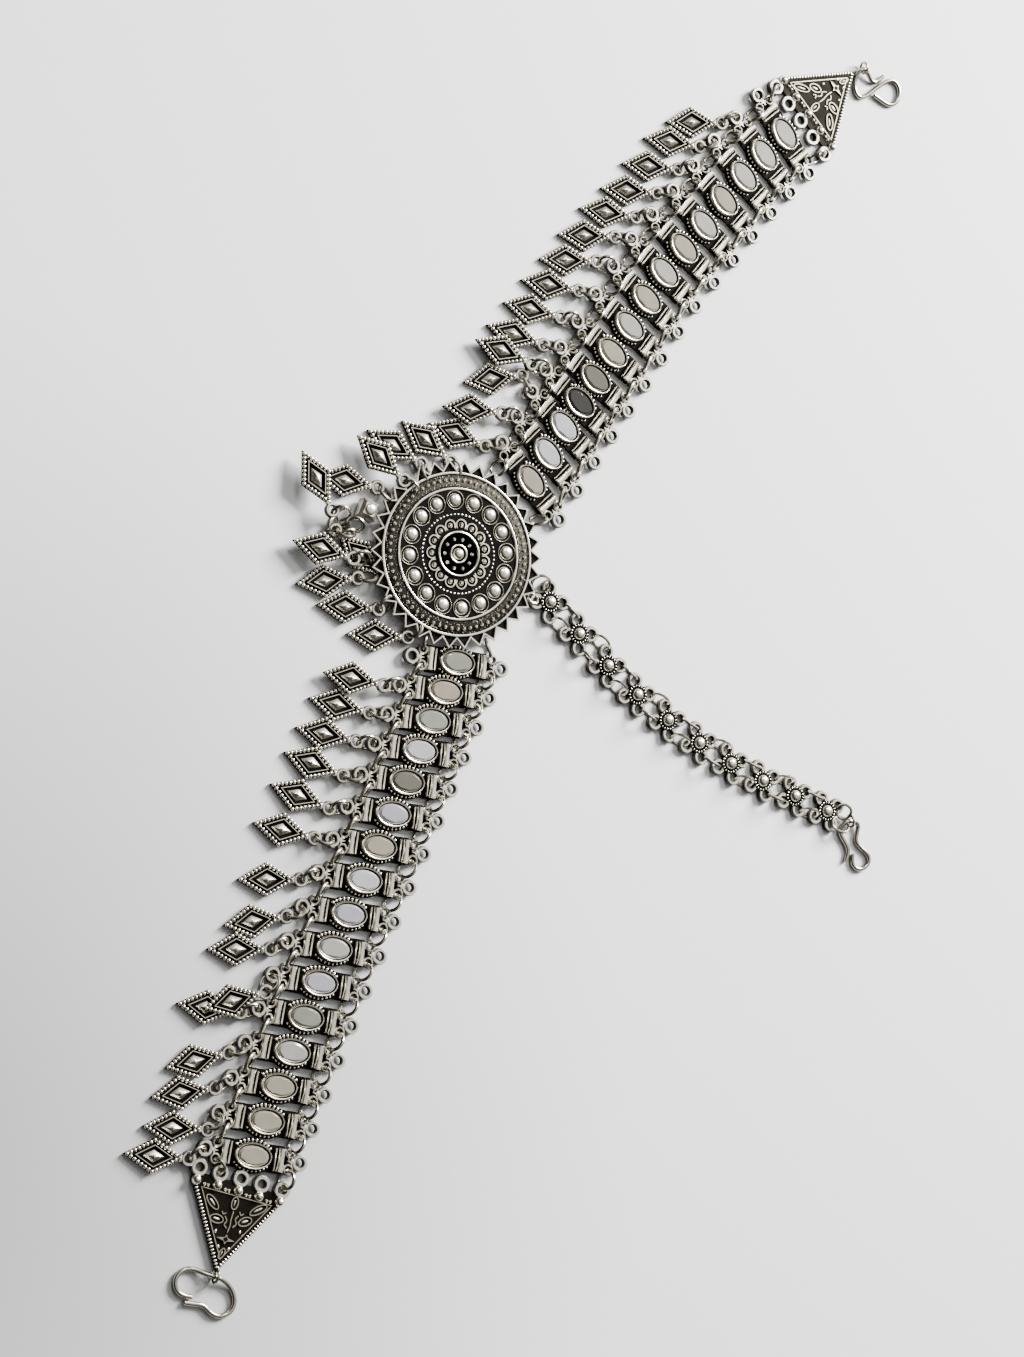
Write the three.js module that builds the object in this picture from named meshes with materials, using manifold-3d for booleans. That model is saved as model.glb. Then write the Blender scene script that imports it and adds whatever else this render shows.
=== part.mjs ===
// A head ornament (maang tikka with two side bands) lying flat on a table.
// Millimetres, +Z up. The origin is the centre of the medallion's flat back, on the table.
// Seen from above, +X points right and +Y up: one band of mirror links runs down and left,
// the other up and right, and the parting chain of flowers runs down and right.
import * as THREE from "three";
import { mergeVertices } from "three/addons/utils/BufferGeometryUtils.js";
import Module from "manifold-3d";

const wasm = await Module();
wasm.setup();

// Clearance between pieces that touch in the real object.
const GAP = 0.3;
const HEIGHT_ABOVE_TABLE = 0.3;
// How far a raised detail sinks into what carries it.
const SINK = 0.2;
// Triangles that lie in one plane to within this are merged in the finished meshes.
const FLATNESS = 0.001;

const wire = { jumpRing: 0.75, sides: 5, tubeSides: 4 };
const loop = { outer: 1.75, hole: 1.05, thickness: 0.8 };

const medallion = {
  teeth: 34,
  tipRadius: 23.75,
  rootRadius: 20.9,
  toothThickness: 0.7,
  toothHeight: 2.6,
  outerRing: 20.5,
  middleRing: 16.5,
  innerRing: 10.0,
  hubRing: 5.5,
  bossRadius: 2.3,
  ringWidth: 0.7,
  ringHeight: 0.6,
  fieldHeight: 3.9,
  hubHeight: 4.5,
  domes: 16,
  domeCircle: 13.6,
  domeRadius: 2.1,
  domeHeight: 1.3,
  segments: 20,
};

const MEDALLION_EDGE = medallion.outerRing + medallion.ringWidth / 2;

const link = {
  halfWidth: 8.3,
  barHalfLength: 2.95,
  skirtHalf: 3.7,
  skirtWidth: 3.4,
  frameThickness: 1.8,
  bezelLength: 9.5,
  bezelWidth: 6.5,
  mirrorLength: 7.5,
  mirrorWidth: 4.9,
  bezelHeight: 1.2,
  facets: 8,
  sideLoopX: 9.7,
  sideLoopY: 1.75,
  sideLoopRadius: 0.95,
  outerLoopX: 12.5,
};
const LINK_FLOOR = 0.5;
const LINK_TOP = LINK_FLOOR + link.frameThickness;
const LOOP_LEVEL = LINK_TOP - 0.1 - loop.thickness / 2;

const drop = {
  halfLength: 7.1,
  halfWidth: 4.2,
  eyeToCentre: 8.7,
  eyeRadius: 1.8,
  eyeHole: 1.0,
  neckHalf: 0.6,
  thickness: 1.3,
  border: 1.2,
  pyramidRise: 0.9,
};
const RING_SPAN = 4.8;
const DROP_LAYER = drop.thickness + drop.pyramidRise + GAP;

const flower = {
  count: 10,
  loopCircle: 3.7,
  loopRadius: 1.9,
  loopHole: 1.2,
  thickness: 1.3,
  domeRadius: 2.5,
  domeTop: 1.3,
  domeHeight: 1.2,
};

const plate = {
  base: 24.8,
  height: 20.2,
  thickness: 1.8,
  rim: 1.7,
  reliefDepth: 0.5,
  loops: 5,
  loopRadius: 1.9,
  loopHole: 1.1,
  loopReach: 2.6,
  domeRadius: 1.2,
  domeHeight: 1.0,
  cornerInset: 1.2,
};
// Raised leaves on an end plate: across and up are shares of its base and its height.
const PLATE_LEAVES = [
  { across: 0.23, up: 0.22, length: 2.2, width: 0.9, turn: -37 },
  { across: -0.26, up: 0.18, length: 2.4, width: 0.9, turn: 38 },
  { across: 0.15, up: 0.4, length: 1.75, width: 1.0, turn: 0 },
  { across: -0.15, up: 0.35, length: 1.75, width: 1.0, turn: 30 },
  { across: 0, up: 0.17, length: 1.5, width: 0.85, turn: 90 },
  { across: 0, up: 0.57, length: 2.6, width: 0.7, turn: 0 },
  { across: 0, up: 0.57, length: 1.3, width: 0.7, turn: 90 },
  { across: 0, up: 0.78, length: 1.35, width: 0.65, turn: 75 },
];

const endRing = { radius: 1.5, segments: 9 };
const hook = { wire: 1.0, sides: 5, steps: 20, riseLength: 5.0 };
const cube = { side: 4.6, around: 158 };

// Hand-chosen routes. Facing is the way a link's own long edges point, in degrees from +X.
// The lower band's rows are links 1, 4, 7, 10, 13 and 16, counted from the medallion.
const LOWER_ROUTE = [
  { x: 0.8, y: -27.1, facing: 84 },
  { x: -9.5, y: -49.5, facing: 83 },
  { x: -20.7, y: -73.5, facing: 82 },
  { x: -32.7, y: -98.6, facing: 81 },
  { x: -43.8, y: -123.6, facing: 79 },
  { x: -53.9, y: -148.4, facing: 80 },
];
const LOWER_LINKS = 16;
// The upper band's rows are links 1, 3, 5 and so on to 15.
const UPPER_ROUTE = [
  { x: 21.7, y: 19.9, facing: 41 },
  { x: 31.2, y: 34.5, facing: 47 },
  { x: 40.3, y: 47.5, facing: 53 },
  { x: 50.4, y: 62.0, facing: 52 },
  { x: 60.8, y: 77.0, facing: 50 },
  { x: 72.9, y: 90.6, facing: 48 },
  { x: 85.0, y: 104.7, facing: 45 },
  { x: 97.7, y: 117.4, facing: 39 },
];
const UPPER_LINKS = 15;
// The parting chain's rows are flowers 1, 4, 7 and 10.
const PARTING_ROUTE = [
  { x: 27.4, y: -10.7, facing: -45 },
  { x: 52.8, y: -33.6, facing: -39 },
  { x: 80.6, y: -50.7, facing: -31 },
  { x: 110.0, y: -62.7, facing: -23 },
];

// Where an end plate lies: the middle of its base, the way its apex points, and its hook's ring,
// placed from the apex.
const LOWER_PLATE = { x: -57.4, y: -156.3, facing: -106, ring: { across: 0, out: 1.2, turn: 0 } };
const UPPER_PLATE = { x: 105.1, y: 123.5, facing: 42, ring: { across: 1.1, out: 3, turn: 60 } };
const PARTING_RING = { x: 117.2, y: -65.2, facing: -80 };
// The hooks' wire, point by point, from the place where it passes through its ring.
const LOWER_HOOK = [
  [-7.6, -5.9],
  [-5, -6.4],
  [-2.6, -6.8],
  [-0.9, -8.7],
  [1.6, -9.7],
  [4.4, -8.7],
  [5.5, -6.2],
  [4.6, -3.2],
  [2.2, -1],
  [0, 0],
  [-2.3, 0.6],
  [-4.6, 1.8],
  [-7.1, 2.1],
  [-9.4, 0.9],
  [-10.1, -1.6],
  [-8.8, -3.9],
  [-5.8, -4.7],
];
const UPPER_HOOK = [
  [6.9, -1.3],
  [3.8, -3.6],
  [1.8, -1.5],
  [0.0, 0.0],
  [-2.1, -2.2],
  [-2.4, -5.3],
  [-0.9, -8.0],
  [1.7, -7.1],
  [4.5, -4.9],
  [8.1, -2.4],
  [10.8, -2.2],
  [12.3, -4.8],
  [11.2, -8.0],
  [8.7, -9.0],
  [6.2, -7.9],
  [4.0, -6.8],
];
const PARTING_HOOK = [
  [-0.9, -10.5],
  [0.0, -7.6],
  [-1.6, -4.9],
  [-2.9, -2.7],
  [-1.9, -0.6],
  [0.0, 0.0],
  [2.3, -0.5],
  [2.9, -1.9],
  [2.2, -5.1],
  [3.8, -7.0],
  [6.4, -9.1],
  [6.0, -11.6],
  [3.4, -12.9],
  [1.2, -11.6],
  [1.2, -8.9],
];

// Drops on the bands. Ring is the way its jump ring runs from the link's loop to the drop's eye,
// and swing the way the drop points from its eye to its tip, in degrees from +X. Layer is 1 where
// the drop lies on a neighbour.
const LOWER_DROPS = [
  { link: 2, ring: -175, swing: 170, layer: 1 },
  { link: 3, ring: 180, swing: 168, layer: 0 },
  { link: 4, ring: 175, swing: 169, layer: 0 },
  { link: 5, ring: -175, swing: 160, layer: 0 },
  { link: 6, ring: -173, swing: 159, layer: 0 },
  { link: 7, ring: 178, swing: 167, layer: 0 },
  { link: 8, ring: -158, swing: 180, layer: 0 },
  { link: 9, ring: -150, swing: -172, layer: 0 },
  { link: 10, ring: -155, swing: 180, layer: 0 },
  { link: 11, ring: -120, swing: -166, layer: 1 },
  { link: 12, ring: -170, swing: 172, layer: 0 },
  { link: 13, ring: -150, swing: -168, layer: 0 },
  { link: 14, ring: -150, swing: -173, layer: 0 },
  { link: 15, ring: -125, swing: 176, layer: 0 },
  { link: 16, ring: -150, swing: 174, layer: 0 },
];
const UPPER_DROPS = [
  { link: 1, ring: -165, swing: 162, layer: 0 },
  { link: 2, ring: 176, swing: 177, layer: 1 },
  { link: 3, ring: 125, swing: -170, layer: 0 },
  { link: 4, ring: 169, swing: 161, layer: 1 },
  { link: 5, ring: 178, swing: 165, layer: 0 },
  { link: 6, ring: 173, swing: 170, layer: 0 },
  { link: 7, ring: 175, swing: 174, layer: 0 },
  { link: 8, ring: 171, swing: -178, layer: 0 },
  { link: 9, ring: 180, swing: -178, layer: 0 },
  { link: 10, ring: -165, swing: 176, layer: 0 },
  { link: 11, ring: -165, swing: 180, layer: 0 },
  { link: 12, ring: -160, swing: 179, layer: 0 },
  { link: 13, ring: -154, swing: 177, layer: 0 },
  { link: 14, ring: -155, swing: -176, layer: 0 },
];
// Drops round the medallion: around and reach place the eye from the medallion's centre.
const MEDALLION_DROPS = [
  { around: 92, reach: 23.6, swing: 144, layer: 0 },
  { around: 112, reach: 24.4, swing: 152, layer: 0 },
  { around: 131, reach: 26.2, swing: 136, layer: 1 },
  { around: 143, reach: 26.4, swing: 172, layer: 0 },
  { around: 165, reach: 35.6, swing: 118, layer: 1 },
  { around: 172, reach: 33.0, swing: -40, layer: 0 },
  { around: -175, reach: 28.8, swing: 166, layer: 1 },
  { around: -165, reach: 27.4, swing: -173, layer: 0 },
  { around: -145, reach: 25.4, swing: 178, layer: 0 },
  { around: -121, reach: 24.8, swing: 179, layer: 0 },
];

const oxidised = new THREE.MeshStandardMaterial({ color: 0x8f8a7d, roughness: 0.45, metalness: 1 });
const steelWire = new THREE.MeshStandardMaterial({ color: 0xa9a595, roughness: 0.3, metalness: 1 });

// A closed geometry as a solid, moved by a matrix if one is given.
function solid(geometry, matrix = new THREE.Matrix4()) {
  const plain = geometry.clone().applyMatrix4(matrix);
  plain.deleteAttribute("normal");
  plain.deleteAttribute("uv");
  const merged = mergeVertices(plain, 1e-4);
  const mesh = new wasm.Mesh({
    numProp: 3,
    vertProperties: merged.attributes.position.array,
    triVerts: new Uint32Array(merged.index.array),
  });
  return new wasm.Manifold(mesh);
}

function moved(body, matrix) {
  return body.transform(matrix.elements);
}

function joined(bodies) {
  return wasm.Manifold.union(bodies);
}

function namedMesh(name, body, material) {
  const { vertProperties, triVerts } = body.asOriginal().simplify(FLATNESS).getMesh();
  const geometry = new THREE.BufferGeometry();
  geometry.setAttribute("position", new THREE.BufferAttribute(vertProperties, 3));
  geometry.setIndex(new THREE.BufferAttribute(triVerts, 1));
  geometry.computeVertexNormals();
  const mesh = new THREE.Mesh(geometry, material);
  mesh.name = name;
  return mesh;
}

// A matrix that turns by an angle in degrees about Z and then moves.
function placed(x, y, z, degrees = 0) {
  const turn = new THREE.Matrix4().makeRotationZ(THREE.MathUtils.degToRad(degrees));
  return new THREE.Matrix4().makeTranslation(x, y, z).multiply(turn);
}

function polar(radius, degrees) {
  const angle = THREE.MathUtils.degToRad(degrees);
  return [radius * Math.cos(angle), radius * Math.sin(angle)];
}

// Points on an ellipse, from one angle to another, in degrees.
function arc(cx, cy, rx, ry, from, to, steps) {
  return Array.from({ length: steps + 1 }, (_, i) => {
    const angle = THREE.MathUtils.degToRad(from + ((to - from) * i) / steps);
    return [cx + rx * Math.cos(angle), cy + ry * Math.sin(angle)];
  });
}

function ellipse(cx, cy, rx, ry, sides, start = 0) {
  return arc(cx, cy, rx, ry, start, start + 360 - 360 / sides, sides - 1);
}

// A flat plate of an outline with holes, from one height to another.
function slab(outline, holes, bottom, top) {
  const shape = new THREE.Shape(outline.map(([x, y]) => new THREE.Vector2(x, y)));
  for (const hole of holes) {
    shape.holes.push(new THREE.Path(hole.map(([x, y]) => new THREE.Vector2(x, y))));
  }
  const geometry = new THREE.ExtrudeGeometry(shape, { depth: top - bottom, bevelEnabled: false });
  return solid(geometry, new THREE.Matrix4().makeTranslation(0, 0, bottom));
}

// A block that narrows from one outline to another with as many points: a facet per side and a table.
function frustum(lower, upper, bottom, top) {
  const count = lower.length;
  const positions = [...lower.map(([x, y]) => [x, y, bottom]), ...upper.map(([x, y]) => [x, y, top])];
  const index = [];
  for (let i = 0; i < count; i += 1) {
    const next = (i + 1) % count;
    index.push(i, next, count + next, i, count + next, count + i);
  }
  for (let i = 1; i < count - 1; i += 1) {
    index.push(0, i + 1, i, count, count + i, count + i + 1);
  }
  const geometry = new THREE.BufferGeometry();
  geometry.setAttribute("position", new THREE.Float32BufferAttribute(positions.flat(), 3));
  geometry.setIndex(index);
  return solid(geometry);
}

// A pyramid on an outline, its point above a given place.
function pyramid(outline, point, bottom, top) {
  const count = outline.length;
  const positions = [...outline.map(([x, y]) => [x, y, bottom]), [...point, top]];
  const index = [];
  for (let i = 0; i < count; i += 1) {
    index.push(i, (i + 1) % count, count);
  }
  for (let i = 1; i < count - 1; i += 1) {
    index.push(0, i + 1, i);
  }
  const geometry = new THREE.BufferGeometry();
  geometry.setAttribute("position", new THREE.Float32BufferAttribute(positions.flat(), 3));
  geometry.setIndex(index);
  return solid(geometry);
}

// A low round dome with flat facets, sunk a little into what carries it.
function dome(x, y, radius, bottom, height, sides = 6) {
  const crown = radius * 0.45;
  const foot = ellipse(x, y, radius, radius, sides);
  return frustum(foot, ellipse(x, y, crown, crown, sides), bottom - SINK, bottom + height);
}

// The plain tube that stands for a jump ring, from one point to another.
function tube(from, to) {
  const start = new THREE.Vector3(...from);
  const end = new THREE.Vector3(...to);
  const along = end.clone().sub(start);
  const radius = wire.jumpRing / 2;
  const geometry = new THREE.CylinderGeometry(radius, radius, along.length(), wire.tubeSides);
  const turn = new THREE.Quaternion().setFromUnitVectors(
    new THREE.Vector3(0, 1, 0),
    along.clone().normalize(),
  );
  const middle = start.clone().add(end).multiplyScalar(0.5);
  return solid(geometry, new THREE.Matrix4().compose(middle, turn, new THREE.Vector3(1, 1, 1)));
}

function closedRing(radius, diameter, matrix, segments) {
  const geometry = new THREE.TorusGeometry(radius, diameter / 2, wire.sides, segments);
  return solid(geometry, matrix);
}

// Link, flower and drop places along a route.
function places(route, count) {
  const curve = new THREE.CatmullRomCurve3(
    route.map(({ x, y, facing }) => new THREE.Vector3(x, y, facing)),
    false,
    "catmullrom",
  );
  return Array.from({ length: count }, (_, i) => {
    const point = curve.getPoint(i / (count - 1));
    return { x: point.x, y: point.y, facing: point.z };
  });
}

function turned(place, degrees) {
  return { ...place, facing: place.facing + degrees };
}

function onPlace(place, x, y) {
  const [dx, dy] = polar(1, place.facing - 90);
  return [place.x + x * dx - y * dy, place.y + x * dy + y * dx];
}

// One mirror link, its long edges along +Y and its drop loop on -X.
function mirrorLink() {
  const { halfWidth, barHalfLength, skirtHalf, skirtWidth, sideLoopX, sideLoopY } = link;
  const frame = slab(
    [
      [halfWidth, -barHalfLength],
      [halfWidth, barHalfLength],
      [skirtWidth, skirtHalf],
      [-skirtWidth, skirtHalf],
      [-halfWidth, barHalfLength],
      [-halfWidth, -barHalfLength],
      [-skirtWidth, -skirtHalf],
      [skirtWidth, -skirtHalf],
    ],
    [],
    LINK_FLOOR,
    LINK_TOP,
  );
  const stone = frustum(
    ellipse(0, 0, link.bezelLength / 2, link.bezelWidth / 2, link.facets),
    ellipse(0, 0, link.mirrorLength / 2, link.mirrorWidth / 2, link.facets),
    LINK_TOP - GAP,
    LINK_TOP + link.bezelHeight,
  );
  const reach = sideLoopY + link.sideLoopRadius;
  const root = halfWidth - GAP;
  const loops = [1, -1].map((side) => {
    const outline = [
      [root, -reach],
      [sideLoopX, -reach],
      ...arc(link.outerLoopX, 0, loop.outer, loop.outer, -114, 114, 3),
      [sideLoopX, reach],
      [root, reach],
    ];
    const hole = ellipse(link.outerLoopX, 0, loop.hole, loop.hole, 4);
    const turn = new THREE.Matrix4().makeRotationZ(side > 0 ? 0 : Math.PI);
    const half = loop.thickness / 2;
    return moved(slab(outline, [hole], LOOP_LEVEL - half, LOOP_LEVEL + half), turn);
  });
  return joined([frame, stone, ...loops]);
}

// Where a jump ring sits in a link's side loops: on +X or -X, and on its +Y or -Y edge.
function sideLoop(spot, xSign, ySign) {
  const x = xSign * (link.sideLoopX - link.sideLoopRadius / 2);
  return onPlace(spot, x, ySign * (link.sideLoopY + link.sideLoopRadius / 2));
}

function levelTube(from, to, height) {
  return tube([...from, height], [...to, height]);
}

// The point on the line between two points that is a distance short of the second.
function shortOf(from, to, distance) {
  const [dx, dy] = [to[0] - from[0], to[1] - from[1]];
  const share = 1 - distance / Math.hypot(dx, dy);
  return [from[0] + dx * share, from[1] + dy * share];
}

function nearest(point, candidates) {
  const away = ([x, y]) => Math.hypot(x - point[0], y - point[1]);
  return candidates.reduce((best, next) => (away(next) < away(best) ? next : best));
}

// A band of links from the medallion to an end plate. Outward is the side of a link, +Y or -Y,
// that faces the end plate.
function linkBand(route, count, outward, plateSpot) {
  const piece = mirrorLink();
  const spots = places(route, count);
  const bodies = spots.map(({ x, y, facing }) => moved(piece, placed(x, y, 0, facing - 90)));
  const eyes = plateEyes().map(([x, y]) => onPlace(plateSpot, x, y));
  for (const side of [1, -1]) {
    for (let i = 0; i + 1 < count; i += 1) {
      const far = sideLoop(spots[i + 1], side, -outward);
      bodies.push(levelTube(sideLoop(spots[i], side, outward), far, LOOP_LEVEL));
    }
    const first = sideLoop(spots[0], side, -outward);
    bodies.push(levelTube(first, shortOf(first, [0, 0], MEDALLION_EDGE + GAP), LOOP_LEVEL));
    const last = sideLoop(spots[count - 1], side, outward);
    const end = shortOf(last, nearest(last, eyes), plate.loopRadius + GAP);
    bodies.push(levelTube(last, end, LOOP_LEVEL));
  }
  return { spots, body: joined(bodies) };
}

// One rhombic drop with its eye at the origin and its tip on +X, and the plain tube that stands
// for its jump ring: it runs from the eye, in a direction and to a reach, towards what it hangs on.
function rhombicDrop(direction, reach, height) {
  const { halfLength, halfWidth, eyeToCentre, eyeRadius, eyeHole, neckHalf, thickness } = drop;
  const neckX = eyeToCentre - halfLength + (halfLength * neckHalf) / halfWidth;
  const outline = [
    [eyeToCentre + halfLength, 0],
    [eyeToCentre, halfWidth],
    [neckX, neckHalf],
    ...arc(0, 0, eyeRadius, eyeRadius, 45, 315, 4),
    [neckX, -neckHalf],
    [eyeToCentre, -halfWidth],
  ];
  const flat = slab(outline, [ellipse(0, 0, eyeHole, eyeHole, 4, 180)], 0, thickness);
  const share = 1 - drop.border / (halfWidth * Math.cos(Math.atan2(halfWidth, halfLength)));
  const rhombus = ellipse(eyeToCentre, 0, halfLength * share, halfWidth * share, 4);
  const relief = pyramid(rhombus, [eyeToCentre, 0], thickness - SINK, thickness + drop.pyramidRise);
  const from = [...polar((eyeRadius + eyeHole) / 2 - 0.1, direction), thickness / 2];
  return joined([flat, relief, tube(from, [...polar(reach, direction), height])]);
}

// A drop whose eye is at a point. Toward is the way its jump ring runs, and reach how far.
function hungDrop(name, eye, toward, reach, { swing, layer }) {
  const lift = layer * DROP_LAYER;
  const body = rhombicDrop(toward - swing, reach, LOOP_LEVEL - lift);
  return namedMesh(name, moved(body, placed(...eye, lift, swing)), oxidised);
}

function numbered(prefix, number) {
  return `${prefix}_${String(number).padStart(2, "0")}`;
}

function bandDrops(prefix, rows, spots) {
  return rows.map((row) => {
    const [x, y] = onPlace(spots[row.link - 1], -link.outerLoopX, 0);
    const [dx, dy] = polar(RING_SPAN, row.ring);
    const reach = RING_SPAN - loop.outer - GAP;
    return hungDrop(numbered(prefix, row.link), [x + dx, y + dy], row.ring + 180, reach, row);
  });
}

function medallionDrops() {
  return MEDALLION_DROPS.map((row, i) => {
    const reach = row.reach - MEDALLION_EDGE - GAP;
    const eye = polar(row.reach, row.around);
    return hungDrop(numbered("medallion_drop", i + 1), eye, row.around + 180, reach, row);
  });
}

function medallionBody() {
  const m = medallion;
  const half = m.ringWidth / 2;
  const top = m.toothHeight + m.toothThickness;
  const ringProfile = (radius, height) => [
    [radius + half, height - m.ringHeight],
    [radius + half, height],
    [radius - half, height],
    [radius - half, height - m.ringHeight],
  ];
  const profile = [
    [0, 0],
    [m.outerRing + half, 0],
    ...ringProfile(m.outerRing, top + m.ringHeight).slice(1),
    ...ringProfile(m.middleRing, m.fieldHeight + m.ringHeight),
    ...ringProfile(m.innerRing, m.hubHeight),
    ...ringProfile(m.hubRing, m.hubHeight + m.ringHeight),
    [m.bossRadius, m.hubHeight + m.ringHeight / 2],
    [0, m.hubHeight + 1.5 * m.ringHeight],
  ];
  const lathed = new THREE.LatheGeometry(
    profile.map(([r, z]) => new THREE.Vector2(r, z)),
    m.segments,
  );
  const body = solid(lathed, new THREE.Matrix4().makeRotationX(Math.PI / 2));
  const star = Array.from({ length: 2 * m.teeth }, (_, i) => {
    const radius = i % 2 ? m.rootRadius : m.tipRadius;
    return polar(radius, (180 * i) / m.teeth);
  });
  const teeth = slab(star, [], m.toothHeight, m.toothHeight + m.toothThickness);
  const domes = Array.from({ length: m.domes }, (_, i) => {
    const [x, y] = polar(m.domeCircle, (360 * i) / m.domes);
    return dome(x, y, m.domeRadius, m.fieldHeight, m.domeHeight);
  });
  return joined([body, teeth, ...domes]);
}

// A four-loop flower with its loops on the diagonals.
function flowerLink() {
  const f = flower;
  const outline = [];
  const holes = [];
  for (let quarter = 0; quarter < 4; quarter += 1) {
    const middle = 45 + 90 * quarter;
    const [x, y] = polar(f.loopCircle, middle);
    outline.push(...arc(x, y, f.loopRadius, f.loopRadius, middle - 115, middle + 115, 3));
    holes.push(ellipse(x, y, f.loopHole, f.loopHole, 4, middle));
  }
  const base = HEIGHT_ABOVE_TABLE;
  const body = slab(outline, holes, base, base + f.thickness);
  const middle = frustum(
    ellipse(0, 0, f.domeRadius, f.domeRadius, 10),
    ellipse(0, 0, f.domeTop, f.domeTop, 10),
    base + f.thickness - SINK,
    base + f.thickness + f.domeHeight,
  );
  return body.add(middle);
}

// The upright ring that a hook hangs on, at the origin of its spot and along its facing.
function hookRing({ x, y, facing }) {
  const upright = placed(x, y, ringHeight(), facing).multiply(
    new THREE.Matrix4().makeRotationX(Math.PI / 2),
  );
  return closedRing(endRing.radius, wire.jumpRing, upright, endRing.segments);
}

// The lowest part of an upright ring, where a tube meets it.
function ringFoot({ x, y }) {
  return [x, y, wire.jumpRing * 0.6];
}

// The height of an end ring's centre above the table.
function ringHeight() {
  return endRing.radius + wire.jumpRing / 2;
}

function partingChain() {
  const spots = places(PARTING_ROUTE, flower.count);
  const piece = flowerLink();
  const bodies = spots.map(({ x, y, facing }) => moved(piece, placed(x, y, 0, facing)));
  const reach = flower.loopCircle * Math.SQRT1_2;
  const level = HEIGHT_ABOVE_TABLE + flower.thickness / 2;
  const edge = (spot, forward, side) =>
    onPlace(turned(spot, 90), forward * (reach + flower.loopHole), side * reach);
  bodies.push(hookRing(PARTING_RING));
  for (const side of [1, -1]) {
    for (let i = 0; i + 1 < spots.length; i += 1) {
      bodies.push(levelTube(edge(spots[i], 1, side), edge(spots[i + 1], -1, side), level));
    }
    const first = edge(spots[0], -1, side);
    bodies.push(levelTube(first, shortOf(first, [0, 0], MEDALLION_EDGE + GAP), level));
  }
  const last = edge(spots[spots.length - 1], 1, 1);
  bodies.push(tube([...last, level], ringFoot(PARTING_RING)));
  return { spots, body: joined(bodies) };
}

// The centres of an end plate's loops, in its own frame.
function plateEyes() {
  const first = plate.cornerInset - plate.base / 2;
  const spacing = (plate.base - 2 * plate.cornerInset) / (plate.loops - 1);
  return Array.from({ length: plate.loops }, (_, i) => [first + i * spacing, -plate.loopReach]);
}

// An end plate: the middle of its base at the origin, its apex on +Y, its loops on -Y.
function endPlate(ring) {
  const { base, height, thickness, rim, reliefDepth, loopRadius, loopHole } = plate;
  const outline = [[base / 2, 0], [0, height], [-base / 2, 0]];
  const centroid = height / 3;
  const share = 1 - rim / centroid;
  const inner = outline.map(([x, y]) => [x * share, centroid + (y - centroid) * share]);
  const recess = slab(inner, [], thickness - reliefDepth, thickness + 1);
  const bodies = [slab(outline, [], 0, thickness).subtract(recess), ...plateRelief()];
  for (const [x, y] of plateEyes()) {
    const edge = [
      ...arc(x, y, loopRadius, loopRadius, 160, 380, 3),
      [x + loopRadius / 2, plate.domeRadius / 2],
      [x - loopRadius / 2, plate.domeRadius / 2],
    ];
    const bottom = (thickness - loop.thickness) / 2;
    bodies.push(slab(edge, [ellipse(x, y, loopHole, loopHole, 4)], bottom, bottom + loop.thickness));
    bodies.push(dome(x, rim / 2, plate.domeRadius, thickness, plate.domeHeight));
  }
  const ringSpot = { x: ring.across, y: height + ring.out, facing: 90 + ring.turn };
  bodies.push(hookRing(ringSpot), tube([0, height - 1, thickness / 2], ringFoot(ringSpot)));
  return joined(bodies);
}

// The raised leaves and the four-point flower on an end plate's field.
function plateRelief() {
  const floor = plate.thickness - plate.reliefDepth;
  return PLATE_LEAVES.map(({ across, up, length, width, turn }) => {
    const leaf = pyramid(ellipse(0, 0, length, width, 4), [0, 0], floor - SINK, plate.thickness);
    return moved(leaf, placed(across * plate.base, up * plate.height, 0, turn));
  });
}

// A hook bent from round wire along its route, which rises where it passes through its ring.
function bentHook(route, [ringX, ringY]) {
  const radius = hook.wire / 2;
  const points = route.map(([x, y]) => {
    const rise = Math.max(0, 1 - Math.hypot(x, y) / hook.riseLength) * (ringHeight() - radius);
    return new THREE.Vector3(ringX + x, ringY + y, radius + rise);
  });
  const extrudePath = new THREE.CatmullRomCurve3(points);
  const section = ellipse(0, 0, radius, radius, hook.sides);
  const shape = new THREE.Shape(section.map(([x, y]) => new THREE.Vector2(x, y)));
  return solid(new THREE.ExtrudeGeometry(shape, { steps: hook.steps, extrudePath }));
}

const ornament = new THREE.Group();
const lower = linkBand(LOWER_ROUTE, LOWER_LINKS, -1, LOWER_PLATE);
const upper = linkBand(UPPER_ROUTE, UPPER_LINKS, 1, UPPER_PLATE);
const parting = partingChain();
ornament.add(namedMesh("medallion", medallionBody(), oxidised));
ornament.add(namedMesh("lower_band", lower.body, oxidised));
ornament.add(namedMesh("upper_band", upper.body, oxidised));
ornament.add(namedMesh("parting_chain", parting.body, oxidised));
ornament.add(...bandDrops("lower_drop", LOWER_DROPS, lower.spots));
ornament.add(...bandDrops("upper_drop", UPPER_DROPS, upper.spots));
ornament.add(...medallionDrops());
const ends = [
  { name: "lower", spot: LOWER_PLATE, route: LOWER_HOOK },
  { name: "upper", spot: UPPER_PLATE, route: UPPER_HOOK },
];
for (const { name, spot, route } of ends) {
  const body = moved(endPlate(spot.ring), placed(spot.x, spot.y, 0, spot.facing - 90));
  ornament.add(namedMesh(`${name}_end_plate`, body, oxidised));
  const ring = onPlace(spot, spot.ring.across, plate.height + spot.ring.out);
  ornament.add(namedMesh(`${name}_hook`, bentHook(route, ring), steelWire));
}
const partingHook = bentHook(PARTING_HOOK, [PARTING_RING.x, PARTING_RING.y]);
ornament.add(namedMesh("parting_hook", partingHook, steelWire));
const cubeReach = medallion.tipRadius + GAP + cube.side / 2;
const cubeMatrix = placed(...polar(cubeReach, cube.around), cube.side / 2, cube.around);
const cubeBody = solid(new THREE.BoxGeometry(cube.side, cube.side, cube.side), cubeMatrix);
ornament.add(namedMesh("cube_bead", cubeBody, oxidised));

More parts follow.
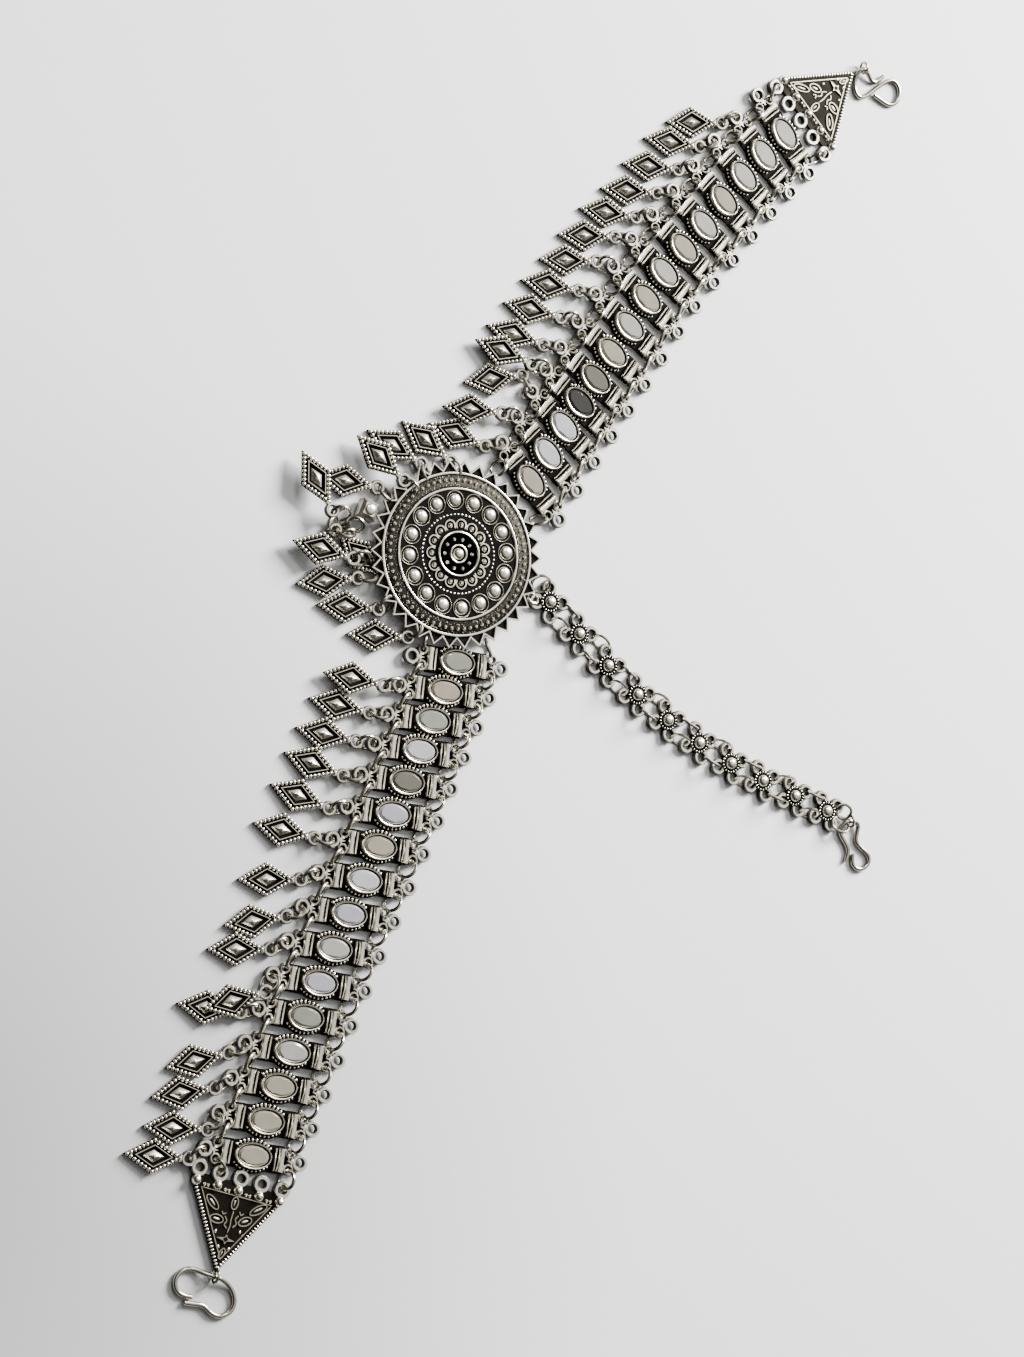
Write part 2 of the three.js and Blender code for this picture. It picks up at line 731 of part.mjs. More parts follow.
export default ornament;
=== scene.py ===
"""Dress of an oxidised silver head ornament that lies spread on a pale table.

Lengths are millimetres until a mesh is made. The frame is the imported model's: the origin under
the medallion's centre on the table, +Z up. Routes and tables repeat those of the part's source.
"""

import logging
import math
import random
from dataclasses import dataclass, field, fields, replace
from enum import Enum, IntEnum

import bpy
import numpy as np
from mathutils import Matrix, Vector


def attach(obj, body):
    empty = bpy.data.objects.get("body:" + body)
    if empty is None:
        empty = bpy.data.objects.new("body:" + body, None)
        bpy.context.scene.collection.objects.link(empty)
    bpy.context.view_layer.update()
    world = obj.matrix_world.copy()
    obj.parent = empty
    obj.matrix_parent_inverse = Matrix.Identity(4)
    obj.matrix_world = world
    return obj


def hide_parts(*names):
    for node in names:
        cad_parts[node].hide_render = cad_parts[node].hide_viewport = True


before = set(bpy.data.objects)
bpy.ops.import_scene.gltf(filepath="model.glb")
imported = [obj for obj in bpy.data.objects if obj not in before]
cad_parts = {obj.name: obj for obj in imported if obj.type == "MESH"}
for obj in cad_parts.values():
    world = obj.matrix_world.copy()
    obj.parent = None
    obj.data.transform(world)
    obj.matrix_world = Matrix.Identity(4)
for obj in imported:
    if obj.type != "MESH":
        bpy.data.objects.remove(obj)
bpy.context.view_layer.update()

LOG = logging.getLogger("ornament")
MM = 0.001
# Edges that turn by more than this, in degrees, show as edges.
SHARP_TURN = 38.0
# How far from the medallion's centre a jump ring takes hold of its toothed edge.
EDGE_HOLD = 22.0


class Finish(IntEnum):
    """The finishes that a piece's faces can have, in the order of its material slots."""

    SILVER = 0
    BLACKENED = 1
    GRANULATED = 2
    WIRE = 3
    WORN = 4
    MIRROR = 5


class MirrorTone(Enum):
    """What a mirror shows of the room, as an sRGB colour."""

    OLIVE_GREY = "#b4b4a4"
    PEACH = "#cfc0aa"
    GREEN_GREY = "#bec1b4"
    WHITE = "#f4f4f4"
    DARK_OLIVE = "#8b877b"
    LILAC = "#dcdae2"
    BEIGE_GREY = "#cbc3ae"
    LIGHT_GREY = "#dad8cd"
    DARK = "#4c4b48"


def linear(srgb: str) -> tuple[float, float, float, float]:
    """Turn an sRGB hex colour to linear RGBA.

    Args:
        srgb: The colour as #rrggbb.

    Returns:
        The linear red, green and blue, and an alpha of 1.
    """
    values = [int(srgb[i : i + 2], 16) / 255 for i in (1, 3, 5)]
    red, green, blue = (v / 12.92 if v <= 0.04045 else ((v + 0.055) / 1.055) ** 2.4 for v in values)
    return (red, green, blue, 1.0)


def darkened(colour: tuple[float, float, float, float], share: float) -> tuple[float, float, float, float]:
    """Return a linear colour at a share of its brightness."""
    red, green, blue, alpha = colour
    return (red * share, green * share, blue * share, alpha)


def add_node(tree: bpy.types.NodeTree, kind: str, links: dict | None = None, **settings) -> bpy.types.Node:
    """Add a node with its settings and its links.

    Args:
        tree: The node tree.
        kind: The node's type name.
        links: An output socket or a value for each input, by the input's name or number.
        settings: The node's own properties.

    Returns:
        The node.
    """
    node = tree.nodes.new(kind)
    for name, value in settings.items():
        setattr(node, name, value)
    for name, value in (links or {}).items():
        if isinstance(value, bpy.types.NodeSocket):
            tree.links.new(value, node.inputs[name])
        else:
            node.inputs[name].default_value = value
    return node


def new_material(name: str) -> tuple[bpy.types.Material, bpy.types.NodeTree]:
    """Return a new material and its node tree, which is empty."""
    made = bpy.data.materials.new(name)
    made.use_nodes = True
    made.node_tree.nodes.clear()
    return made, made.node_tree


def add_noise(tree: bpy.types.NodeTree, size_mm: float, detail: float) -> bpy.types.NodeSocket:
    """Return a noise from 0 to 1 whose patches have a real size."""
    place = add_node(tree, "ShaderNodeTexCoord").outputs["Object"]
    links = {"Vector": place, "Scale": 1 / (size_mm * MM), "Detail": detail}
    return add_node(tree, "ShaderNodeTexNoise", links).outputs["Fac"]


def add_mix(
    tree: bpy.types.NodeTree, share: bpy.types.NodeSocket, first: tuple, second: tuple
) -> bpy.types.NodeSocket:
    """Return a colour that goes from the first to the second with a share."""
    return add_node(tree, "ShaderNodeMix", {0: share, 6: first, 7: second}, data_type="RGBA").outputs[2]


def add_object(name: str, data: bpy.types.ID) -> bpy.types.Object:
    """Return a new object of some data, in the scene."""
    made = bpy.data.objects.new(name, data)
    bpy.context.scene.collection.objects.link(made)
    return made


@dataclass
class Shape:
    """Points with their patina and painted shade, and faces with their finish."""

    points: np.ndarray
    patina_and_shade: np.ndarray
    quads: np.ndarray
    tris: np.ndarray
    quad_finish: np.ndarray
    tri_finish: np.ndarray
    quad_flat: np.ndarray
    tri_flat: np.ndarray

    def moved(self, x: float, y: float, z: float = 0.0, turn: float = 0.0) -> "Shape":
        """Return a copy turned about Z, in degrees, and then moved."""
        return self.placed(Matrix.Translation((x, y, z)) @ Matrix.Rotation(math.radians(turn), 4, "Z"))

    def placed(self, matrix: Matrix) -> "Shape":
        """Return a copy moved by a matrix."""
        values = np.array(matrix)
        points = self.points @ values[:3, :3].T + values[:3, 3]
        return replace(self, points=points)


def joined(shapes: list[Shape]) -> Shape:
    """Return one shape that holds the faces of several."""
    offsets = np.cumsum([0] + [len(s.points) for s in shapes])
    shifted = [replace(s, quads=s.quads + o, tris=s.tris + o) for s, o in zip(shapes, offsets)]
    return Shape(*(np.concatenate([getattr(s, part.name) for s in shifted]) for part in fields(Shape)))


def loft(
    rings: list[np.ndarray],
    patina_and_shade: list[float],
    finish: Finish = Finish.SILVER,
    caps: bool = True,
    closed: bool = False,
    flat: bool = False,
) -> Shape:
    """Skin rings of points that have the same count.

    Args:
        rings: The rings, each an array of points that turn anticlockwise seen from the last ring.
        patina_and_shade: How black each ring is, from 0 where it is polished to 1 where patina and painted
            shade make it black.
        finish: The finish of the faces.
        caps: Whether the first and the last ring are closed by a fan.
        closed: Whether the last ring is joined to the first.
        flat: Whether each face shows as its own facet.

    Returns:
        The shape.
    """
    count = len(rings[0])
    points = np.concatenate(rings).astype(float)
    shade = np.repeat(np.array(patina_and_shade, float), count)
    around = np.arange(count)
    after = (around + 1) % count
    steps = len(rings) if closed else len(rings) - 1
    quads = []
    for i in range(steps):
        low, high = i * count, ((i + 1) % len(rings)) * count
        quads.append(np.stack([low + around, low + after, high + after, high + around], axis=1))
    tris = np.zeros((0, 3), int)
    if caps and not closed:
        bottom, top = len(points), len(points) + 1
        points = np.vstack([points, rings[0].mean(axis=0), rings[-1].mean(axis=0)])
        shade = np.append(shade, [patina_and_shade[0], patina_and_shade[-1]])
        last = (len(rings) - 1) * count
        lower = np.stack([after, around, np.full(count, bottom)], axis=1)
        upper = np.stack([last + around, last + after, np.full(count, top)], axis=1)
        tris = np.concatenate([lower, upper])
    faces = np.concatenate(quads)
    finishes = np.full(len(faces), finish), np.full(len(tris), finish)
    return Shape(points, shade, faces, tris, *finishes, np.full(len(faces), flat), np.full(len(tris), flat))


def oval(rx: float, ry: float, z: float, sides: int = 32, start: float = 0.0) -> np.ndarray:
    """Return points on an ellipse about the Z axis, from a starting angle in degrees."""
    angles = np.linspace(0, 2 * math.pi, sides, endpoint=False) + math.radians(start)
    return np.stack([rx * np.cos(angles), ry * np.sin(angles), np.full(sides, z)], axis=1)


def polar(radius: float, degrees: float) -> tuple[float, float]:
    """Return the point at a radius and an angle in degrees."""
    return radius * math.cos(math.radians(degrees)), radius * math.sin(math.radians(degrees))


def grain(radius: float, sides: int = 8, stretch: float = 1.0) -> Shape:
    """Return a small ball sunk to its middle, black at its foot with patina and painted shade, stretched
    along X.
    """
    # Height and reach as shares of the radius, and the patina and painted shade there.
    steps = [(-0.25, 0.97, 1.0), (0.15, 1.0, 0.85), (0.58, 0.83, 0.05), (0.92, 0.4, 0.0)]
    rings = [oval(radius * r * stretch, radius * r, radius * z, sides) for z, r, _ in steps]
    return loft(rings, [t for _, _, t in steps])


def dome(radius: float, height: float, sides: int = 24, foot: float = 0.7) -> Shape:
    """Return a smooth dome that stands on Z 0, its foot darkened with patina and painted shade."""
    angles = [0, 12, 30, 48, 66, 82]
    rings = [oval(radius * c, radius * c, height * s, sides) for c, s in (polar(1, a) for a in angles)]
    return loft(rings, [foot, foot * 0.5, 0.0, 0.0, 0.0, 0.0])


def wire(
    path: np.ndarray, radius: float, closed: bool, sides: int = 8, finish: Finish = Finish.SILVER
) -> Shape:
    """Sweep a round section along a path.

    Args:
        path: The points of the path.
        radius: The wire's radius.
        closed: Whether the path joins itself.
        sides: The section's count of sides.
        finish: The finish of the wire.

    Returns:
        The wire.
    """
    ahead = np.roll(path, -1, axis=0)
    behind = np.roll(path, 1, axis=0)
    if not closed:
        ahead[-1], behind[0] = path[-1], path[0]
    along = ahead - behind
    along /= np.linalg.norm(along, axis=1, keepdims=True)
    up = np.array([0.0, 0.0, 1.0]) if np.abs(along[:, 2]).max() < 0.97 else np.array([0.31, 0.74, 0.6])
    across = np.cross(along, up)
    across /= np.linalg.norm(across, axis=1, keepdims=True)
    lift = np.cross(across, along)
    angles = np.linspace(0, 2 * math.pi, sides, endpoint=False)
    rings = []
    for point, side, rise in zip(path, across, lift):
        rings.append(point + radius * (np.outer(np.cos(angles), side) + np.outer(np.sin(angles), rise)))
    if not closed:
        first = path[0] + (rings[0] - path[0]) * 0.5 - along[0] * radius * 0.5
        last = path[-1] + (rings[-1] - path[-1]) * 0.5 + along[-1] * radius * 0.5
        rings = [first, *rings, last]
    swept = loft(rings, [0.0] * len(rings), finish, caps=not closed, closed=closed)
    # The underside of a wire is painted black as shade.
    low = np.tile(0.75 - 1.1 * np.sin(angles), len(rings))
    swept.patina_and_shade[: len(low)] = np.clip(low, 0.0, 0.9)
    return swept


def band_ring(radius: float, thick: float, z: float, height: float, sides: int = 96) -> Shape:
    """Return a half-round ring round the Z axis that stands on a height."""
    half = thick / 2
    # Offset from the radius, height as a share of the ring's, and the patina and painted shade there, darkest
    # at the foot.
    steps = [(half, 0.0, 0.9), (half, 0.45, 0.25), (half * 0.6, 0.9, 0.0), (0.0, 1.0, 0.0)]
    steps += [(-half * 0.6, 0.9, 0.0), (-half, 0.45, 0.25), (-half, 0.0, 0.9)]
    rings = [oval(radius + d, radius + d, z + h * height, sides) for d, h, _ in steps]
    return loft(rings, [t for _, _, t in steps], caps=False)


def eyelet(outer: float, hole: float, bottom: float, top: float, sides: int = 24) -> Shape:
    """Return a flat loop with rounded edges, black on its sides and in its hole with patina and painted
    shade, bright on top.
    """
    round_off = min(0.28 * (top - bottom), 0.28)
    steps = [(outer - round_off, bottom, 1.0), (outer, bottom + round_off, 1.0)]
    steps += [(outer, top - round_off, 0.9), (outer - round_off, top, 0.05)]
    steps += [(hole + round_off, top, 0.05), (hole, top - round_off, 1.0), (hole, bottom + round_off, 1.0)]
    rings = [oval(r, r, z, sides) for r, z, _ in steps]
    return loft(rings, [t for _, _, t in steps], closed=True)


def slab(outline: np.ndarray, bottom: float, top: float, bevel: float, finish: Finish, rim: float) -> Shape:
    """Make a plate whose outline is seen whole from its middle, with a bevelled upper edge.

    Args:
        outline: The plate's outline, seen from above.
        bottom: The height of its underside.
        top: The height of its face.
        bevel: How far the upper edge is cut back.
        finish: The finish of all its faces.
        rim: How black its face is, with patina and painted shade.

    Returns:
        The plate.
    """
    low = np.column_stack([outline, np.full(len(outline), bottom)])
    edge = np.column_stack([outline, np.full(len(outline), top - bevel)])
    middle = outline.mean(axis=0)
    size = np.abs(outline - middle).max()
    inner = middle + (outline - middle) * (1 - bevel / size)
    high = np.column_stack([inner, np.full(len(outline), top)])
    return loft([low, edge, high], [0.6, rim, rim], finish)


def bar(width: float, length: float, bottom: float, top: float, flare: float = 0.0) -> Shape:
    """Return a half-round bar along Y, wider at its ends by a flare."""
    rings = []
    for share in (-1.0, -0.94, -0.75, -0.4, 0.0, 0.4, 0.75, 0.94, 1.0):
        half = width / 2 + flare * abs(share) ** 3
        crown = top if abs(share) < 0.97 else top - 0.25
        profile = [(-1, bottom), (1, bottom), (1, crown - 0.45), (0.72, crown - 0.12)]
        profile += [(0.25, crown), (-0.25, crown), (-0.72, crown - 0.12), (-1, crown - 0.45)]
        rings.append(np.array([(half * x, share * length / 2, z) for x, z in profile]))
    shape = loft(rings[::-1], [0.1] * len(rings))
    # The bar is painted darker towards its foot, with patina and painted shade.
    shape.patina_and_shade = np.clip(1.25 - (shape.points[:, 2] - bottom) / (top - bottom) * 1.6, 0.0, 1.0)
    return shape


def jump_ring(radius: float, gauge: float, tilt: float) -> Shape:
    """Return a wire ring round the origin, tilted about X by some degrees."""
    angles = np.linspace(0, 2 * math.pi, 28, endpoint=False)
    path = np.stack([radius * np.cos(angles), radius * np.sin(angles), 0 * angles], axis=1)
    ring = wire(path, gauge / 2, True, 8, Finish.WIRE)
    return ring.placed(Matrix.Rotation(math.radians(tilt), 4, "X"))


def joining_ring(
    start: tuple[float, float], end: tuple[float, float], high: float, tilt: float, gauge: float = 0.88
) -> Shape:
    """Make the jump ring that joins two holes.

    Args:
        start: The first hole.
        end: The second hole.
        high: The height of the ring's middle.
        tilt: How far the ring is tilted about the line between the holes, in degrees.
        gauge: The wire's thickness.

    Returns:
        The ring, which reaches a little less far than the holes, and never more than its real size.
    """
    dx, dy = end[0] - start[0], end[1] - start[1]
    radius = min(math.hypot(dx, dy) / 2 - 0.2, 2.4)
    middle = Vector(((start[0] + end[0]) / 2, (start[1] + end[1]) / 2, high))
    turn = Matrix.Translation(middle) @ Matrix.Rotation(math.atan2(dy, dx), 4, "Z")
    return jump_ring(radius, gauge, tilt).placed(turn)


def spline(points: list[tuple[float, ...]], parameters: np.ndarray) -> np.ndarray:
    """Return points on the uniform Catmull-Rom curve through some points.

    Args:
        points: The points that the curve passes through.
        parameters: Where to read the curve, each from 0 at its start to 1 at its end.

    Returns:
        A row for each parameter.
    """
    knots = np.array(points, float)
    knots = np.vstack([2 * knots[0] - knots[1], knots, 2 * knots[-1] - knots[-2]])
    place = np.clip(parameters, 0, 1) * (len(points) - 1)
    start = np.minimum(place.astype(int), len(points) - 2)
    t = (place - start)[:, None]
    before, a, b, beyond = (knots[start + i] for i in range(4))
    slope_a, slope_b = (b - before) / 2, (beyond - a) / 2
    return (
        (2 * t**3 - 3 * t**2 + 1) * a
        + (t**3 - 2 * t**2 + t) * slope_a
        + (3 * t**2 - 2 * t**3) * b
        + (t**3 - t**2) * slope_b
    )


@dataclass(frozen=True)
class Spot:
    """A place on the table and the way that a piece there faces, in degrees."""

    x: float
    y: float
    facing: float

    def at(self, x: float, y: float) -> tuple[float, float]:
        """Return a point given in the piece's own frame, +Y along its facing."""
        dx, dy = polar(1, self.facing - 90)
        return self.x + x * dx - y * dy, self.y + x * dy + y * dx


def spots(route: list[tuple[float, float, float]], count: int) -> list[Spot]:
    """Return equally stepped spots along a route of x, y and facing."""
    return [Spot(*row) for row in spline(route, np.linspace(0, 1, count))]


# The way of each chain: x, y and facing, from the medallion outwards.
LOWER_ROUTE = [
    (0.8, -27.1, 84),
    (-9.5, -49.5, 83),
    (-20.7, -73.5, 82),
    (-32.7, -98.6, 81),
    (-43.8, -123.6, 79),
    (-53.9, -148.4, 80),
]
UPPER_ROUTE = [
    (21.7, 19.9, 41),
    (31.2, 34.5, 47),
    (40.3, 47.5, 53),
    (50.4, 62.0, 52),
    (60.8, 77.0, 50),
    (72.9, 90.6, 48),
    (85.0, 104.7, 45),
    (97.7, 117.4, 39),
]
PARTING_ROUTE = [(27.4, -10.7, -45), (52.8, -33.6, -39), (80.6, -50.7, -31), (110.0, -62.7, -23)]
FLOWER_COUNT = 10
PARTING_RING = Spot(117.2, -65.2, -80)

# Link, the way of its drop's jump ring, the way the drop points, and its layer.
LOWER_DROPS = [
    (2, -175, 170, 1), (3, 180, 168, 0), (4, 175, 169, 0), (5, -175, 160, 0), (6, -173, 159, 0),
    (7, 178, 167, 0), (8, -158, 180, 0), (9, -150, -172, 0), (10, -155, 180, 0), (11, -120, -166, 1),
    (12, -170, 172, 0), (13, -150, -168, 0), (14, -150, -173, 0), (15, -125, 176, 0), (16, -150, 174, 0),
]  # fmt: skip
UPPER_DROPS = [
    (1, -165, 162, 0), (2, 176, 177, 1), (3, 125, -170, 0), (4, 169, 161, 1), (5, 178, 165, 0),
    (6, 173, 170, 0), (7, 175, 174, 0), (8, 171, -178, 0), (9, 180, -178, 0), (10, -165, 176, 0),
    (11, -165, 180, 0), (12, -160, 179, 0), (13, -154, 177, 0), (14, -155, -176, 0),
]  # fmt: skip
# Where the eye is from the medallion's centre, as an angle and a reach, the way the drop points,
# and its layer.
MEDALLION_DROPS = [
    (92, 23.6, 144, 0), (112, 24.4, 152, 0), (130, 23.1, 139, 1), (143, 26.4, 172, 0), (165, 35.6, 118, 1),
    (172, 33.0, -40, 0), (-175, 28.8, 166, 1), (-165, 27.4, -173, 0), (-145, 25.4, 178, 0),
    (-121, 24.8, 179, 0),
]  # fmt: skip


@dataclass(frozen=True)
class CastSilver:
    """Zinc alloy, cast, silver plated, oxidised and polished: warm pale highs over hollows black with patina
    and painted shade.
    """

    name: str = "cast zinc alloy, silver plated and oxidised"
    polished: str = "#f6f0df"
    # The black of patina in hollows and of painted shade.
    patina_and_shade_black: str = "#161412"
    roughness: float = 0.24
    hollow_roughness: float = 0.3
    wear: float = 0.5
    cloud_mm: float = 2.5
    pit_mm: float = 0.35
    pit_depth_mm: float = 0.02

    def material(self) -> bpy.types.Material:
        """Return the finish as a material, which reads each point's patina and painted shade."""
        made, tree = new_material(self.name)
        clouds = add_noise(tree, self.cloud_mm, 3.0)
        depth = add_node(tree, "ShaderNodeAttribute", attribute_name="patina_and_shade")
        # The plating wears unevenly, so the black creeps further up in some places.
        uneven = add_node(
            tree,
            "ShaderNodeMath",
            {0: clouds, 1: self.wear, 2: -self.wear / 2},
            operation="MULTIPLY_ADD",
        )
        total = add_node(
            tree,
            "ShaderNodeMath",
            {0: depth.outputs["Fac"], 1: uneven.outputs[0]},
            operation="ADD",
            use_clamp=True,
        )
        colour = add_mix(tree, total.outputs[0], linear(self.polished), linear(self.patina_and_shade_black))
        gloss = add_node(
            tree,
            "ShaderNodeMapRange",
            {
                "Value": total.outputs[0],
                "To Min": self.roughness,
                "To Max": self.roughness + self.hollow_roughness,
            },
        )
        pits = add_noise(tree, self.pit_mm, 2.0)
        bump = add_node(
            tree,
            "ShaderNodeBump",
            {"Height": pits, "Strength": 0.5, "Distance": self.pit_depth_mm * MM},
        )
        shader = add_node(
            tree,
            "ShaderNodeBsdfPrincipled",
            {
                "Base Color": colour,
                "Metallic": 1.0,
                "Roughness": gloss.outputs[0],
                "Normal": bump.outputs[0],
            },
        )
        add_node(tree, "ShaderNodeOutputMaterial", {"Surface": shader.outputs[0]})
        return made


@dataclass(frozen=True)
class FoiledGlass:
    """Small cut mirror, silvered on its back: a flat bright table whose colour is a painted reflection of one
    tone of the room.
    """

    tone: MirrorTone
    pale_share: float = 0.56
    dim_share: float = 0.42
    reflection_patch_mm: float = 3.0

    def material(self) -> bpy.types.Material:
        """Return the mirror as a material of its tone."""
        made, tree = new_material(f"silvered mirror glass {self.tone.name.lower()}")
        reflection_patches = add_noise(tree, self.reflection_patch_mm, 2.0)
        # The painted reflection is darker than the room, and uneven in patches.
        tone = linear(self.tone.value)
        pale, dim = darkened(tone, self.pale_share), darkened(tone, self.dim_share)
        colour = add_mix(tree, reflection_patches, pale, dim)
        shader = add_node(
            tree, "ShaderNodeBsdfPrincipled", {"Base Color": colour, "Metallic": 0.4, "Roughness": 0.16}
        )
        add_node(tree, "ShaderNodeOutputMaterial", {"Surface": shader.outputs[0]})
        return made


class Wardrobe:
    """The materials of all pieces, each made once."""

    def __init__(self) -> None:
        """Make the metal finishes."""
        self.metals = {
            Finish.SILVER: CastSilver().material(),
            Finish.BLACKENED: CastSilver(
                name="cast ground, blackened with liver of sulphur",
                polished="#25221c",
                patina_and_shade_black="#0a0908",
                roughness=0.42,
            ).material(),
            Finish.GRANULATED: CastSilver(
                name="cast silver plate, granulated",
                polished="#5c574d",
                patina_and_shade_black="#0d0c0b",
                roughness=0.3,
                cloud_mm=0.5,
                pit_mm=0.5,
                pit_depth_mm=0.25,
            ).material(),
            Finish.WIRE: CastSilver(
                name="steel wire, drawn and nickel plated",
                polished="#bfb9a9",
                patina_and_shade_black="#161513",
                roughness=0.2,
                cloud_mm=4.0,
                pit_depth_mm=0.006,
            ).material(),
            Finish.WORN: CastSilver(
                name="cast silver plate, worn to the alloy",
                polished="#b3aa95",
                patina_and_shade_black="#12100e",
                roughness=0.3,
            ).material(),
        }
        self.mirrors: dict[MirrorTone, bpy.types.Material] = {}

    def mirror(self, tone: MirrorTone) -> bpy.types.Material:
        """Return the mirror material of a tone."""
        if tone not in self.mirrors:
            self.mirrors[tone] = FoiledGlass(tone).material()
        return self.mirrors[tone]

    def dress(
        self, name: str, shape: Shape, nodes: list[str], tone: MirrorTone | None = None
    ) -> bpy.types.Object:
        """Make an object of a shape, which stands for some nodes of the model.

        Args:
            name: The object's name.
            shape: The shape, in millimetres.
            nodes: The names of the nodes that it replaces.
            tone: The tone of its mirrors, if it has any.

        Returns:
            The object, riding on the model.
        """
        mesh = bpy.data.meshes.new(name)
        quads, tris = len(shape.quads), len(shape.tris)
        mesh.vertices.add(len(shape.points))
        mesh.vertices.foreach_set("co", (shape.points * MM).ravel())
        corners = np.concatenate([shape.quads.ravel(), shape.tris.ravel()])
        mesh.loops.add(len(corners))
        mesh.loops.foreach_set("vertex_index", corners.astype(np.int32))
        starts = np.concatenate([np.arange(quads) * 4, quads * 4 + np.arange(tris) * 3])
        mesh.polygons.add(quads + tris)
        mesh.polygons.foreach_set("loop_start", starts.astype(np.int32))
        finishes = np.concatenate([shape.quad_finish, shape.tri_finish]).astype(np.int32)
        mesh.polygons.foreach_set("material_index", finishes)
        mesh.update(calc_edges=True)
        mesh.validate()
        # Patina and painted shade for each point, which the metals read.
        patina_and_shade = mesh.attributes.new("patina_and_shade", "FLOAT", "POINT")
        patina_and_shade.data.foreach_set("value", shape.patina_and_shade.astype(np.float32))
        flats = np.concatenate([shape.quad_flat, shape.tri_flat])
        mesh.polygons.foreach_set("use_smooth", ~flats)
        mesh.set_sharp_from_angle(angle=math.radians(SHARP_TURN))
        for finish in self.metals.values():
            mesh.materials.append(finish)
        mesh.materials.append(self.mirror(tone or MirrorTone.LIGHT_GREY))
        made = add_object(name, mesh)
        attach(made, "root")
        if nodes:
            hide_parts(*nodes)
        LOG.info("%s: %d faces", name, quads + tris)
        return made


@dataclass
class Medallion:
    """The round shield: toothed edge, granulated band, a ring of domes and a scalloped boss."""

    teeth: int = 34
    tip_radius: float = 23.7
    root_radius: float = 21.0
    tooth_wire: float = 0.43
    sides: int = 96
    ring_width: float = 0.7
    outer_ring: float = 20.5
    middle_ring: float = 16.5
    inner_ring: float = 10.0
    hub_ring: float = 5.5
    boss_ring: float = 2.2
    boss_radius: float = 1.5
    domes: int = 16
    dome_start: float = 4.0
    dome_circle: float = 13.6
    dome_radius: float = 1.9
    dome_height: float = 1.15
    collar_radius: float = 2.35
    scallops: int = 15
    scallop_circle: float = 7.4
    scallop_radius: float = 1.38
    scallop_half_turn: float = 128.0
    granules: int = 68
    granule_circle: float = 18.75
    granule_radius: float = 0.5
    specks: int = 520
    speck_radii: tuple[float, float] = (0.1, 0.19)
    speck_seed: int = 7
    notches: int = 60
    hub_beads: int = 10
    hub_bead_circle: float = 3.8

    def shield(self) -> Shape:
        """Return the stepped black ground and its granulated band."""
        half = self.ring_width / 2
        # Radius and height of each step, from the edge inwards.
        body = [(20.8, 0.0), (20.85, 2.9), (20.4, 3.3), (self.outer_ring - half, 3.5)]
        band = [(self.outer_ring - half, 3.5), (19.2, 3.85), (17.6, 4.15), (self.middle_ring + half, 4.2)]
        dish = [(16.9, 4.2), (self.middle_ring - half, 3.95), (16.0, 3.7), (10.2, 3.7)]
        dish += [(9.8, 4.0), (5.8, 4.3), (5.3, 4.2)]
        body, band, dish = ([oval(r, r, z, self.sides) for r, z in steps] for steps in (body, band, dish))
        return joined(
            [
                loft(body, [0.6, 0.5, 0.6, 0.8], Finish.BLACKENED),
                loft(band, [1.0, 0.8, 0.8, 1.0], Finish.GRANULATED, caps=False),
                loft(dish, [0.9] * len(dish), Finish.BLACKENED),
            ]
        )

    def tooth_points(self, tip: float, root: float, z: float) -> np.ndarray:
        """Return the points of a toothed outline, from a tip."""
        corners = [polar(root if i % 2 else tip, 180 * i / self.teeth) for i in range(2 * self.teeth)]
        return np.array([(x, y, z) for x, y in corners])

    def edge(self) -> Shape:
        """Return the black teeth with their bright outline."""
        outline = self.tooth_points(self.tip_radius, self.root_radius, 0.0)[:, :2]
        ridge = self.tooth_points(self.tip_radius - 0.15, self.root_radius + 0.05, 3.25)
        return joined(
            [
                slab(outline, 2.6, 3.1, 0.05, Finish.BLACKENED, 0.8),
                wire(ridge, self.tooth_wire, True, 6),
            ]
        )

    def rings(self) -> list[Shape]:
        """Return the raised rings, and the boss in the middle."""
        # Radius, width, height of the foot, rise and count of sides.
        rows = [
            (self.outer_ring, self.ring_width, 3.3, 0.6, self.sides),
            (self.middle_ring, 0.65, 3.9, 0.65, self.sides),
            (self.inner_ring, 0.26, 3.8, 0.35, self.sides),
            (self.hub_ring, 0.6, 4.2, 0.7, self.sides),
            (self.boss_ring, 0.5, 4.15, 0.65, 32),
        ]
        return [band_ring(*row) for row in rows] + [dome(self.boss_radius, 1.0).moved(0, 0, 4.3)]

    def granulation(self) -> list[Shape]:
        """Return the row of granules, with specks strewn on both sides of it."""
        made = []
        for i in range(self.granules):
            x, y = polar(self.granule_circle, 360 * i / self.granules)
            made.append(grain(self.granule_radius).moved(x, y, 4.0))
        chance = random.Random(self.speck_seed)
        for _ in range(self.specks):
            radius = chance.choice((chance.uniform(17.1, 18.0), chance.uniform(19.35, 20.0)))
            x, y = polar(radius, chance.uniform(0, 360))
            ground = np.interp(radius, (16.9, 17.6, 19.2, 20.15), (4.2, 4.15, 3.85, 3.5))
            made.append(grain(chance.uniform(*self.speck_radii), 5).moved(x, y, ground))
        return made

    def dome_row(self) -> list[Shape]:
        """Return the domes in their collars, with two lips between each pair."""
        made = []
        lip = bar(0.28, 1.1, 3.7, 4.2, 0.1)
        for i in range(self.domes):
            angle = 360 * i / self.domes + self.dome_start
            x, y = polar(self.dome_circle, angle)
            made.append(dome(self.dome_radius, self.dome_height, foot=0.9).moved(x, y, 3.75))
            made.append(band_ring(self.collar_radius, 0.34, 3.7, 0.7, 32).moved(x, y))
            between = angle + 180 / self.domes
            for offset in (-0.45, 0.45):
                x, y = polar(self.dome_circle + offset, between)
                made.append(lip.moved(x, y, 0, between))
        return made

